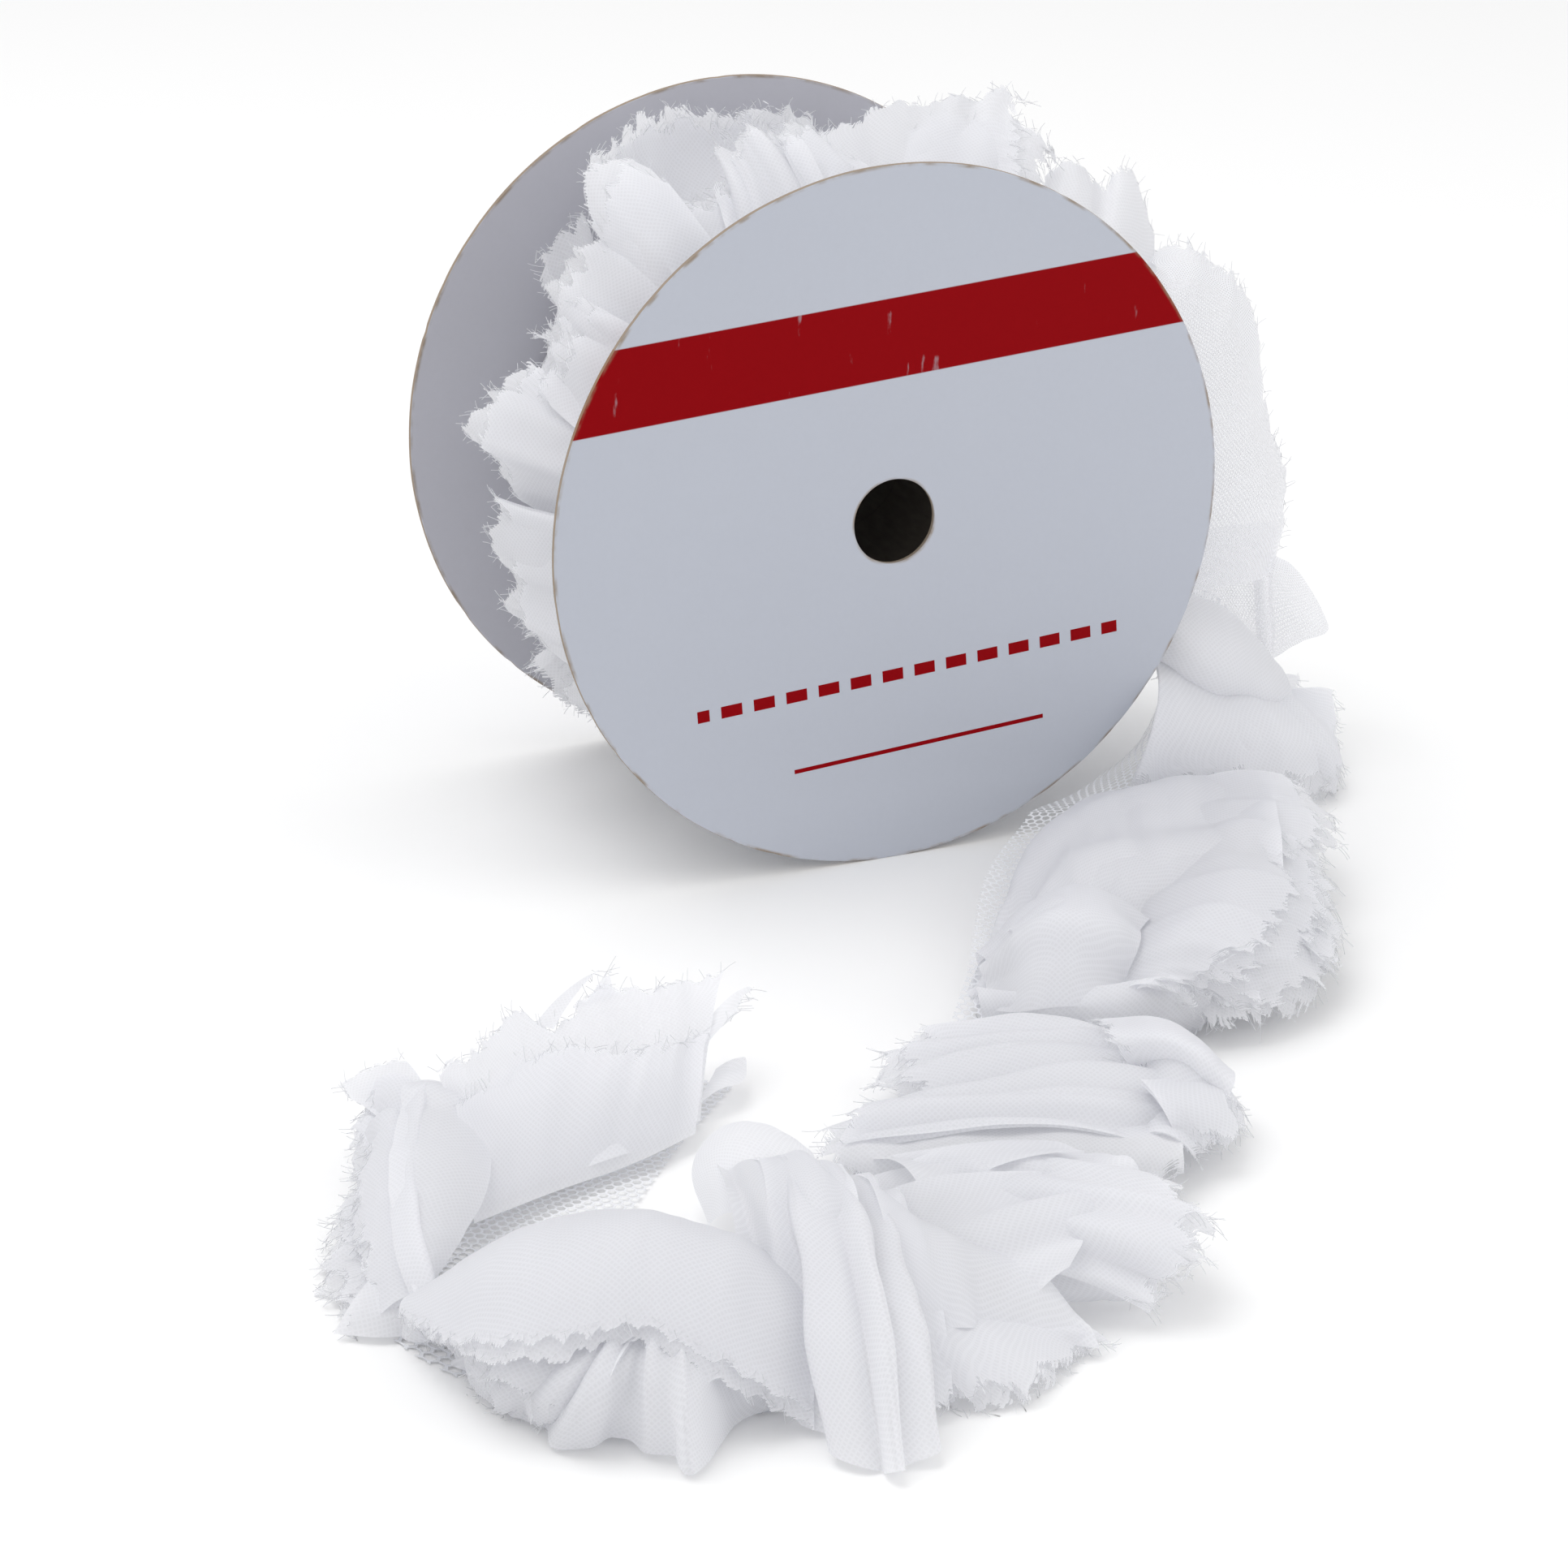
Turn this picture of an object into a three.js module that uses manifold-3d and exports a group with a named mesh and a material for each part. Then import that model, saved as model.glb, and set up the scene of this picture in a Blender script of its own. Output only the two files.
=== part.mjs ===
// A reel of ribbon rose trim. Chiffon with frayed edges is folded into roses along a net tape,
// wound between two board discs, and its loose end comes off the right side of the reel and lies
// on the table in a bend.
//
// Millimetres, +Z up. The reel stands on the rims of its discs, its axis along Y and its front
// disc towards -Y. The drawing is laid out round a point on the table under the middle of the
// reel, and the finished group is moved so that its box stands centred on the origin.

import * as THREE from 'three';
import { mergeVertices } from 'three/addons/utils/BufferGeometryUtils.js';
import Module from 'manifold-3d';

const wasm = await Module();
wasm.setup();

// Driving dimensions

const reel = { across: 127, width: 76.2, board: 1, hole: 15.3, sides: 64 };
const core = { across: 34, bore: 31, sides: 40 };
const wound = { across: 92, swell: 3, ripple: 1.2, rings: 36, cellsAlong: 3 };
const tape = { wide: 40, thick: 1, cellsAlong: 48, cellsAcross: 2 };
const chiffon = { thick: 1.5, cellsAlong: 4, cellsAcross: 6 };
const heart = { lump: 0.08, dimple: 0.06, rings: 10, rows: 6 };
const gap = 0.3;
const tailTurn = -23.3;
const table = { across: 600, deep: 100 };

const UP = new THREE.Vector3(0, 0, 1);
const AXIAL = new THREE.Vector3(0, 1, 0);
const radians = THREE.MathUtils.degToRad;

// Half a side is added to the turn of each round piece, so that a flat side is at the bottom.
// The axis stands higher than the table by the distance to that side.
const axisHeight = (reel.across / 2) * Math.cos(Math.PI / reel.sides);

// Materials, as they look on the real thing

const card = new THREE.MeshStandardMaterial({ color: 0xbcc2cd, roughness: 0.6, metalness: 0 });
const greyBoard = new THREE.MeshStandardMaterial({ color: 0x8f887c, roughness: 0.9, metalness: 0 });
const voile = new THREE.MeshStandardMaterial({ color: 0xf4f5f7, roughness: 0.85, metalness: 0 });
const net = new THREE.MeshStandardMaterial({ color: 0xeff0f2, roughness: 0.9, metalness: 0 });

// Shapes

function solidOf(geometry) {
  const bare = geometry.clone();
  bare.deleteAttribute('normal');
  bare.deleteAttribute('uv');
  const merged = mergeVertices(bare, 1e-4);
  return new wasm.Manifold(new wasm.Mesh({
    numProp: 3,
    vertProperties: new Float32Array(merged.attributes.position.array),
    triVerts: new Uint32Array(merged.index.array),
  }));
}

function geometryOf(solid) {
  const mesh = solid.getMesh();
  const geometry = new THREE.BufferGeometry();
  geometry.setAttribute('position', new THREE.BufferAttribute(mesh.vertProperties, mesh.numProp));
  geometry.setIndex(new THREE.BufferAttribute(mesh.triVerts, 1));
  return geometry;
}

function joined(solids) {
  return solids.reduce((sum, next) => sum.add(next));
}

function largestOf(solid) {
  const pieces = solid.decompose();
  return pieces.reduce((best, next) => (next.volume() > best.volume() ? next : best));
}

// Moves each point of a geometry to the place that a function gives for it.
function reshape(geometry, place) {
  const points = geometry.attributes.position;
  const point = new THREE.Vector3();
  for (let i = 0; i < points.count; i += 1) {
    point.fromBufferAttribute(points, i);
    const moved = place(point);
    points.setXYZ(i, moved.x, moved.y, moved.z);
  }
  return geometry;
}

// A value that runs through three stops, at the root, the middle and the free edge.
function through([start, middle, end], t) {
  return start * (1 - t) ** 2 + 2 * middle * t * (1 - t) + end * t ** 2;
}

// The face of one fold. It follows a spine from its sewn root to its free edge. The spine is
// arched upwards and swayed to the right. Across the spine the cloth is a part of a circle, cup
// degrees long, so a small cup is a flat petal and a large one a puff. It leans about the spine,
// and its edge has waves.
function foldFace(fold) {
  const from = new THREE.Vector3(...fold.from);
  const to = new THREE.Vector3(...fold.to);
  const run = to.clone().sub(from);
  const reference = fold.axial ? AXIAL.clone() : run.clone().cross(UP).normalize();
  const lift = fold.axial ? reference.clone().cross(run).normalize() : UP;
  const control = from.clone().add(to).multiplyScalar(0.5)
    .addScaledVector(lift, 2 * (fold.arch ?? 0))
    .addScaledVector(reference, 2 * (fold.sway ?? 0));
  const spine = new THREE.QuadraticBezierCurve3(from, control, to);
  const [leanRoot, leanEdge] = fold.lean ?? [0, 0];
  const arc = radians(fold.cup ?? 30);
  const { count = 0, high = 0, phase = 0 } = fold.waves ?? {};
  return (along, across) => {
    const t = along * (1 - (fold.round ?? 0.12) * Math.abs(across) ** 3);
    const travel = spine.getTangent(THREE.MathUtils.clamp(t, 0, 1));
    const side = reference.clone().addScaledVector(travel, -reference.dot(travel)).normalize();
    const face = side.clone().cross(travel).normalize();
    const lean = radians(leanRoot + (leanEdge - leanRoot) * t);
    const leanSide = side.clone().multiplyScalar(Math.cos(lean))
      .addScaledVector(face, Math.sin(lean));
    const leanFace = face.clone().multiplyScalar(Math.cos(lean))
      .addScaledVector(side, -Math.sin(lean));
    const half = through(fold.wide, t) / 2;
    const bend = 2 * half / arc;
    const angle = across * arc / 2;
    const wave = high * Math.max(along, 0) ** 1.5 * Math.sin(Math.PI * count * across + radians(phase));
    return spine.getPoint(t)
      .addScaledVector(leanSide, bend * Math.sin(angle))
      .addScaledVector(leanFace, bend * (Math.cos(angle) - 1) + wave);
  };
}

// A closed sheet on a fold's face. Grow makes it larger all round, to cut room for a neighbour:
// its two sides move apart, and its outermost points move past the border, by the share of the
// sheet that is given here for each millimetre.
const pastBorder = 0.06;
const border = 0.99;

function sheetSolid(face, thick, cellsAlong, cellsAcross, grow = 0) {
  const step = 0.02;
  const box = new THREE.BoxGeometry(2, 2, 1, cellsAcross, cellsAlong, 1);
  const widened = (share) => share * (Math.abs(share) > border ? 1 + grow * pastBorder : 1);
  return solidOf(reshape(box, (point) => {
    const across = widened(point.x);
    const along = 0.5 + widened(point.y) / 2;
    const here = face(along, across);
    const lengthwise = face(along + step, across).sub(face(along - step, across));
    const crosswise = face(along, across + step).sub(face(along, across - step));
    const normal = crosswise.cross(lengthwise).normalize();
    return here.addScaledVector(normal, point.z * (thick + 2 * grow));
  }));
}

function foldSolid(fold, grow = 0) {
  const cellsAlong = fold.axial ? wound.cellsAlong : chiffon.cellsAlong;
  return sheetSolid(foldFace(fold), chiffon.thick, cellsAlong, chiffon.cellsAcross, grow);
}

// The gathered middle of a rose, where its folds are sewn together: a low lumpy mound.
function heartSolid({ at, size }, grow = 0) {
  const ball = new THREE.SphereGeometry(1, heart.rings, heart.rows);
  const [x, y, z] = at;
  return solidOf(reshape(ball, (point) => {
    const lump = 1 + heart.lump * Math.sin(5 * point.x + 3 * point.y)
      + heart.dimple * Math.sin(7 * point.z);
    return new THREE.Vector3(
      x + point.x * (size[0] * lump + grow),
      y + point.y * (size[1] * lump + grow),
      z + point.z * (size[2] * lump + grow),
    );
  }));
}

// Turns a row of the table from the loose end's own directions to the reel's.
function turned(point, turn) {
  return new THREE.Vector3(...point).applyAxisAngle(UP, radians(turn)).toArray();
}

// Reel

function ring(across, bore, sides, length) {
  const start = Math.PI / sides;
  const outline = new THREE.Shape();
  outline.absarc(0, 0, across / 2, start, start + 2 * Math.PI, false);
  const hole = new THREE.Path();
  hole.absarc(0, 0, bore / 2, start, start + 2 * Math.PI, true);
  outline.holes.push(hole);
  return new THREE.ExtrudeGeometry(outline, {
    depth: length, bevelEnabled: false, curveSegments: sides / 2,
  });
}

function reelPiece(name, geometry, material, front) {
  const mesh = new THREE.Mesh(geometry, material);
  mesh.name = name;
  mesh.rotation.x = Math.PI / 2;
  mesh.position.set(0, front, axisHeight);
  return mesh;
}

const inside = reel.width / 2 - reel.board;

function reelPieces() {
  const disc = ring(reel.across, reel.hole, reel.sides, reel.board);
  const tube = ring(core.across, core.bore, core.sides, 2 * inside);
  return [
    reelPiece('disc_front', disc, card, -inside),
    reelPiece('disc_back', disc, card, inside + reel.board),
    reelPiece('core_tube', tube, greyBoard, inside),
  ];
}

// Wound trim

const woundHalf = inside - gap;

// The outside of the packed turns, from the front to the back. Each row gives the share of the
// wound radius and the share of the half width.
const woundProfile = [
  { radius: 0.9, side: -1 },
  { radius: 1, side: -0.82 },
  { radius: 1.03, side: -0.27 },
  { radius: 1.03, side: 0.27 },
  { radius: 1, side: 0.82 },
  { radius: 0.9, side: 1 },
];

// The packed turns: a thick ring round the core whose outside swells over each buried rose.
function woundBody() {
  const inner = core.across / 2 + gap;
  const front = new THREE.Vector2(inner, -woundHalf);
  const back = new THREE.Vector2(inner, woundHalf);
  const outside = woundProfile.map(({ radius, side }) => (
    new THREE.Vector2(radius * wound.across / 2, side * woundHalf)));
  const lathe = new THREE.LatheGeometry([front, ...outside, back, front], wound.rings);
  return solidOf(reshape(lathe, (point) => {
    const radius = Math.hypot(point.x, point.z);
    const angle = Math.atan2(point.z, point.x);
    const swell = radius > inner + gap
      ? wound.swell * Math.sin(8 * angle + point.y / 14)
        + wound.ripple * Math.sin(19 * angle - point.y / 6)
      : 0;
    const scale = (radius + swell) / radius;
    return new THREE.Vector3(point.x * scale, point.y, axisHeight + point.z * scale);
  }));
}

// The petals that stand out of the packed turns. Angles run from +X over the top, and each row
// gives the angle, distance from the axis and place along it of the root and of the free edge.
const woundPetals = [
  { root: [104, 40, 6], edge: [101, 68, 4], wide: [28, 44, 34], lean: [90, 90], cup: 90, round: 0.25 },
  { root: [118, 40, -16], edge: [119, 61, -17], wide: [22, 30, 26], lean: [-90, -90], cup: 60 },
  { root: [106, 40, -10], edge: [99, 66, -9], wide: [12, 16, 10], lean: [-80, -100], cup: 170 },
  { root: [126, 40, -2], edge: [125, 65, 4], wide: [14, 18, 13], lean: [-70, -90], cup: 120 },
  { root: [134, 40, -12], edge: [136, 59, 6], wide: [26, 34, 20], lean: [-60, -80], cup: 70 },
  { root: [148, 40, -14], edge: [149, 58, 6], wide: [26, 34, 24], lean: [-60, -80], cup: 60 },
  { root: [164, 40, -12], edge: [166, 65, 9], wide: [22, 26, 16], lean: [-80, -100], cup: 60 },
  { root: [182, 40, -14], edge: [178, 60, 12], wide: [20, 24, 18], lean: [-60, -80], cup: 60 },
  { root: [194, 40, -8], edge: [194, 60, 6], wide: [26, 36, 32], lean: [-70, -80], cup: 60 },
  { root: [222, 40, 4], edge: [221, 61, 10], wide: [22, 26, 24], lean: [-70, -80], cup: 60 },
  { root: [82, 44, -2], edge: [55, 72, 2], wide: [18, 28, 22], lean: [-70, -110], cup: 60 },
  { root: [70, 40, 18], edge: [76, 62, 22], wide: [24, 32, 34], lean: [60, 90], cup: 80 },
  { root: [22, 40, 12], edge: [16, 60, 22], wide: [24, 30, 30], lean: [50, 80], cup: 70 },
  { root: [255, 38, -8], edge: [252, 56, -14], wide: [26, 34, 34], lean: [-50, -80], cup: 60 },
  { root: [318, 38, -6], edge: [322, 57, -12], wide: [26, 34, 32], lean: [-60, -80], cup: 60 },
  { root: [240, 38, 16], edge: [236, 56, 20], wide: [24, 32, 30], lean: [-50, -80], cup: 60 },
  { root: [272, 38, 10], edge: [276, 57, 16], wide: [26, 34, 32], lean: [60, 80], cup: 70 },
  { root: [288, 38, -16], edge: [286, 57, -20], wide: [24, 32, 30], lean: [-60, -80], cup: 60 },
  { root: [304, 38, 16], edge: [300, 57, 22], wide: [24, 32, 30], lean: [50, 80], cup: 70 },
  { root: [336, 38, 18], edge: [340, 57, 24], wide: [24, 32, 30], lean: [60, 80], cup: 60 },
  { root: [350, 38, -18], edge: [354, 57, -24], wide: [22, 30, 28], lean: [-60, -80], cup: 60 },
  { root: [44, 40, -14], edge: [40, 60, -18], wide: [22, 30, 28], lean: [-60, -80], cup: 60 },
  { root: [46, 40, 20], edge: [50, 60, 26], wide: [22, 30, 28], lean: [60, 80], cup: 60 },
];

function polar([degrees, radius, along]) {
  const angle = radians(degrees);
  return [radius * Math.cos(angle), along, axisHeight + radius * Math.sin(angle)];
}

function woundFold({ root, edge, ...shape }) {
  return { from: polar(root), to: polar(edge), axial: true, ...shape };
}

function woundSolid() {
  return largestOf(joined([woundBody(), ...woundPetals.map((row) => foldSolid(woundFold(row)))]));
}

// Net tape of the loose end. Each row gives a place on the tape's middle line and the way from
// there to its far side, in the loose end's own directions.
const tapeRows = [
  { at: [50, 22, 91], far: [-8, 17, 0] },
  { at: [58, 26, 70], far: [-8, 17, 0] },
  { at: [61, 24, 46], far: [-7, 18, 1] },
  { at: [67, 15, 31], far: [0, 19, 4] },
  { at: [71, 3, 22], far: [9, 16, 6] },
  { at: [66, -11, 14], far: [15, 12, 5] },
  { at: [58, -31, 6], far: [18, 7, 3] },
  { at: [50, -62, 2], far: [19, 3, 1] },
  { at: [45, -104, 0.5], far: [19, -6, 0] },
  { at: [37, -137, 0.5], far: [18, -8, 0] },
  { at: [26, -168, 0.5], far: [18, -9, 0] },
  { at: [9, -199, 0.5], far: [15, -13, 0] },
  { at: [-12, -216, 0.5], far: [5, -19, 0] },
  { at: [-34, -212, 0.5], far: [-12, -15, 0] },
  { at: [-48, -195, 0.5], far: [-20, 1, 0] },
  { at: [-47, -174, 0.5], far: [-19, 6, 0] },
  { at: [-41, -152, 0.5], far: [-19, 6, 0] },
  { at: [-31, -124, 0.5], far: [-19, 7, 0] },
];

function tapeFace() {
  const middle = new THREE.CatmullRomCurve3(
    tapeRows.map((row) => new THREE.Vector3(...turned(row.at, tailTurn))), false, 'centripetal');
  const far = new THREE.CatmullRomCurve3(
    tapeRows.map((row) => new THREE.Vector3(...turned(row.far, tailTurn))), false, 'centripetal');
  const long = middle.getLength();
  return (along, across) => {
    const t = THREE.MathUtils.clamp(along, 0, 1);
    const point = middle.getPoint(t)
      .addScaledVector(middle.getTangent(t), long * (along - t))
      .addScaledVector(far.getPoint(t).setLength(tape.wide / 2), across);
    point.z = Math.max(point.z, tape.thick / 2);
    return point;
  };
}

// Roses of the loose end
//
// Each rose has a heart on the tape and a row for each of its folds. The turn is the way in which
// its directions lie: the first two hang at the side of the reel, and the others lie on the table.
const roses = [
  {
    name: 'rose_1',
    turn: 0,
    mound: { at: [68, -2, 60], size: [5, 14, 19] },
    folds: [
      { from: [64, -9, 80], to: [53, -6, 108], wide: [20, 30, 24], lean: [-90, -90], cup: 50 },
      { from: [64, -8, 70], to: [88, -9, 57], wide: [42, 60, 50], lean: [-90, -90], cup: 40, round: 0.22 },
      { from: [66, 4, 62], to: [94, 6, 46], wide: [40, 50, 46], lean: [-80, -95], cup: 50 },
      { from: [66, -14, 36], to: [104, -11, 22], wide: [34, 34, 4], lean: [-80, -90], cup: 40 },
    ],
  },
  {
    name: 'rose_2',
    turn: 0,
    mound: { at: [70, -20, 30], size: [7, 11, 9] },
    folds: [
      { from: [62, -24, 34], to: [91, -17, 15], arch: 4, wide: [18, 30, 26], lean: [-60, -70], cup: 110 },
      { from: [48, -42, 15], to: [91, -27, 14], arch: 6, wide: [24, 44, 42], lean: [-35, -50], cup: 60 },
    ],
  },
  {
    name: 'rose_3',
    turn: tailTurn,
    mound: { at: [50, -96, 7], size: [17, 17, 7] },
    folds: [
      { from: [29, -107, 5], to: [82, -61, 10], arch: 13, wide: [12, 82, 62], lean: [-20, -10], cup: 80 },
      { from: [31, -108, 8], to: [77, -70, 18], arch: 15, wide: [12, 58, 52], lean: [-15, -5], cup: 60 },
      { from: [27, -114, 5], to: [60, -108, 18], arch: 6, wide: [14, 34, 20], lean: [10, 20], cup: 120 },
      { from: [29, -119, 4], to: [79, -105, 4], arch: 3, wide: [10, 24, 16], lean: [10, 10], cup: 60 },
    ],
  },
  {
    name: 'rose_4',
    turn: tailTurn,
    mound: { at: [38, -154, 6], size: [20, 12, 6] },
    folds: [
      { from: [54, -139, 5], to: [13, -139, 7], arch: 5, wide: [16, 24, 20], lean: [0, 0], cup: 60 },
      { from: [58, -154, 8], to: [11, -154, 7], arch: 10, wide: [18, 28, 24], lean: [15, 10], cup: 100 },
      { from: [40, -158, 10], to: [64, -157, 9], arch: 7, wide: [20, 28, 22], lean: [0, 0], cup: 150 },
      { from: [38, -168, 7], to: [62, -170, 4], arch: 5, wide: [18, 26, 22], lean: [0, 0], cup: 60 },
      { from: [48, -166, 10], to: [2, -169, 6], arch: 9, wide: [16, 26, 22], lean: [15, 10], cup: 90 },
    ],
  },
  {
    name: 'rose_5',
    turn: tailTurn,
    mound: { at: [26, -194, 6], size: [17, 12, 6] },
    folds: [
      { from: [44, -186, 9], to: [8, -188, 8], arch: 11, wide: [14, 28, 24], lean: [10, 10], cup: 120 },
      { from: [12, -200, 7], to: [40, -206, 17], arch: 3, wide: [22, 26, 10], lean: [35, 40], cup: 30 },
      { from: [30, -200, 6], to: [53, -197, 8], arch: 7, wide: [20, 42, 40], lean: [10, 20], cup: 80 },
      { from: [28, -210, 4], to: [50, -212, 3], arch: 3, wide: [12, 20, 16], lean: [10, 10], cup: 60 },
    ],
  },
  {
    name: 'rose_6',
    turn: tailTurn,
    mound: { at: [2, -214, 7], size: [15, 18, 7] },
    folds: [
      { from: [-4, -202, 20], to: [41, -230, 4], arch: 6, wide: [22, 44, 14], lean: [0, 0], cup: 120 },
      { from: [6, -224, 10], to: [31, -241, 3], arch: 5, wide: [14, 26, 16], lean: [0, 0], cup: 90 },
      { from: [-4, -202, 16], to: [10, -255, 2], arch: 11, wide: [18, 22, 16], lean: [0, 0], cup: 130 },
      { from: [-14, -206, 14], to: [-2, -244, 4], arch: 12, wide: [16, 20, 14], lean: [0, -10], cup: 130 },
      { from: [-4, -206, 8], to: [-13, -173, 9], arch: 3, wide: [16, 26, 22], lean: [0, 0], cup: 50 },
    ],
  },
  {
    name: 'rose_7',
    turn: tailTurn,
    mound: { at: [-31, -228, 7], size: [18, 12, 7] },
    folds: [
      { from: [-54, -219, 7], to: [-9, -229, 9], arch: 16, wide: [18, 56, 42], lean: [0, 0], cup: 130 },
      { from: [-32, -232, 8], to: [-42, -243, 3], arch: 3, wide: [18, 36, 34], lean: [0, 0], cup: 70 },
      { from: [-24, -236, 8], to: [-19, -255, 3], arch: 4, wide: [14, 28, 24], lean: [0, 0], cup: 90 },
    ],
  },
  {
    name: 'rose_8',
    turn: tailTurn,
    mound: { at: [-55, -192, 7], size: [12, 18, 7] },
    folds: [
      { from: [-50, -216, 8], to: [-55, -166, 18], arch: 10, wide: [14, 28, 20], lean: [0, 0], cup: 130 },
      { from: [-56, -190, 10], to: [-74, -190, 6], arch: 4, wide: [36, 62, 64], lean: [10, 15], cup: 40 },
      { from: [-50, -208, 6], to: [-66, -218, 3], arch: 2, wide: [18, 28, 22], lean: [0, 0], cup: 30 },
    ],
  },
  {
    name: 'rose_9',
    turn: tailTurn,
    mound: { at: [-38, -160, 6], size: [13, 13, 6] },
    folds: [
      { from: [-45, -178, 6], to: [-25, -121, 13], arch: 4, wide: [22, 38, 32], lean: [0, 14], cup: 40 },
      { from: [-46, -172, 9], to: [-29, -130, 17], arch: 4, wide: [20, 38, 30], lean: [-5, 10], cup: 30 },
    ],
  },
];

function turnedFold(fold, turn) {
  return { ...fold, from: turned(fold.from, turn), to: turned(fold.to, turn) };
}

function roseSolid({ mound, folds, turn }, grow = 0) {
  const middle = heartSolid({ ...mound, at: turned(mound.at, turn) }, grow);
  return joined([middle, ...folds.map((fold) => foldSolid(turnedFold(fold, turn), grow))]);
}

// The room under the table, which nothing enters.
function belowTable() {
  const room = new THREE.BoxGeometry(table.across, table.across, table.deep);
  room.translate(0, 0, -table.deep / 2);
  return solidOf(room);
}

function meshOf(name, solid, material) {
  const mesh = new THREE.Mesh(geometryOf(solid), material);
  mesh.name = name;
  return mesh;
}

// Each piece of cloth is cut back from those already laid, so that it lies on them with a gap.
function trimPieces() {
  const face = tapeFace();
  const tapeSolid = sheetSolid(face, tape.thick, tape.cellsAlong, tape.cellsAcross);
  const tapeRoom = sheetSolid(face, tape.thick, tape.cellsAlong, tape.cellsAcross, gap);
  const wind = woundSolid().subtract(tapeRoom);
  const taken = [
    belowTable(),
    tapeRoom,
    ...reelPieces().slice(0, 2).map((mesh) => {
      mesh.updateMatrixWorld();
      const room = ring(reel.across + 2 * gap, 1, reel.sides, reel.board + 2 * gap);
      room.translate(0, 0, -gap);
      return solidOf(room.applyMatrix4(mesh.matrixWorld));
    }),
  ];
  const meshes = [meshOf('net_tape', tapeSolid, net), meshOf('wound_trim', largestOf(wind), voile)];
  const woundRoom = joined(
    [woundBody(), ...woundPetals.map((row) => foldSolid(woundFold(row), gap))]);
  taken.push(woundRoom);
  for (const rose of roses) {
    const solid = largestOf(taken.reduce((left, room) => left.subtract(room), roseSolid(rose)));
    meshes.push(meshOf(rose.name, solid, voile));
    taken.push(roseSolid(rose, gap));
  }
  return meshes;
}

const trimReel = new THREE.Group();
trimReel.add(...reelPieces(), ...trimPieces());
const box = new THREE.Box3().setFromObject(trimReel);
const middle = box.getCenter(new THREE.Vector3());
trimReel.position.set(-middle.x, -middle.y, -box.min.z);
trimReel.updateMatrixWorld(true);

export default trimReel;
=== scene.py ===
"""Ribbon rose trim on a card reel.

Frayed chiffon is folded into roses along a net tape. The trim is wound between two board discs,
and its loose end comes off the right side of the reel and lies on the table in a bend.

Lengths in the tables are millimetres round a point on the table under the middle of the reel, with
+Z up and the front disc towards -Y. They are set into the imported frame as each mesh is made.
"""

import math
import random

import bpy
import numpy as np
from bpy.props import FloatProperty, FloatVectorProperty, PointerProperty
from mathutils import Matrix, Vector, noise


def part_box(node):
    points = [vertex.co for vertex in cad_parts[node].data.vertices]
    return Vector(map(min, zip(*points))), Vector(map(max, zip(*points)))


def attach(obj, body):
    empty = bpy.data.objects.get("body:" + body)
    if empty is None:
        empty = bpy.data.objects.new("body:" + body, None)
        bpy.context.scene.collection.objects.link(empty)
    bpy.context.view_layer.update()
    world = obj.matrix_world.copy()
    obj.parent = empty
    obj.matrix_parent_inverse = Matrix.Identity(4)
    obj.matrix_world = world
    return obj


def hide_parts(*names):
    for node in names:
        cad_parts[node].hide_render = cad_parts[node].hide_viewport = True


bl_info = {
    "name": "Ribbon rose trim on a card reel",
    "version": (1, 0, 0),
    "blender": (4, 5, 0),
    "location": "View3D > Sidebar > Trim",
    "description": "Builds frayed chiffon roses on a net tape, wound on a card reel",
    "category": "Object",
}

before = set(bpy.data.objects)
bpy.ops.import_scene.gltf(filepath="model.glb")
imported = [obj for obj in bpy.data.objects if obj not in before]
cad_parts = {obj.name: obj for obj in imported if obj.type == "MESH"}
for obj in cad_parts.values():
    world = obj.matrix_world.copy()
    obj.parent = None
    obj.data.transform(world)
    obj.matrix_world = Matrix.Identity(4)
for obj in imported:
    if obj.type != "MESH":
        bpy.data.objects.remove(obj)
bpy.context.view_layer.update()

MM = 0.001
BODY = "root"
FRONT_LOW, FRONT_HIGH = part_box("disc_front")
BACK_LOW, BACK_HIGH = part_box("disc_back")
AXIS = Vector(((FRONT_LOW.x + FRONT_HIGH.x) / 2, (FRONT_LOW.y + BACK_HIGH.y) / 2, FRONT_HIGH.z / 2))
ORIGIN = np.array((AXIS.x, AXIS.y, FRONT_LOW.z))
AXIS_HEIGHT = AXIS.z / MM

# The loose end's own directions are turned by this many degrees from the reel's
TAIL_TURN = -23.3


# Settings


def measure(name, description, metres):
    """A length in metres."""
    return FloatProperty(name=name, description=description, default=metres, unit="LENGTH")


def amount(name, description, default, **limits):
    """A plain number, not below 0."""
    return FloatProperty(name=name, description=description, default=default, min=0, **limits)


def colour(name, description, rgb):
    """A colour."""
    return FloatVectorProperty(name=name, description=description, default=rgb, subtype="COLOR")


class ReelSettings(bpy.types.PropertyGroup):
    """Sizes and colours of the card reel."""

    across: measure("Across", "Diameter of each disc", 0.127)
    hole: measure("Hole", "Diameter of the spindle hole", 0.0153)
    board: measure("Board", "Thickness of the board", 0.001)
    band_low: measure("Band from", "Lower line of the band, above the hole's middle", 0.0259)
    band_high: measure("Band to", "Upper line of the band, above the hole's middle", 0.0402)
    print_turn: FloatProperty(
        name="Print turn", description="Turn of the print on the front disc",
        default=math.radians(4.0), subtype="ANGLE")
    paper: colour("Paper", "Colour of the smooth paper face", (0.515, 0.54, 0.605))
    back_paper: colour("Back paper", "Colour of the back disc's face", (0.50, 0.50, 0.55))
    ink: colour("Ink", "Colour of the printed band", (0.255, 0.0005, 0.003))
    raw_board: colour("Raw board", "Colour of the cut edges", (0.36, 0.27, 0.18))


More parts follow.
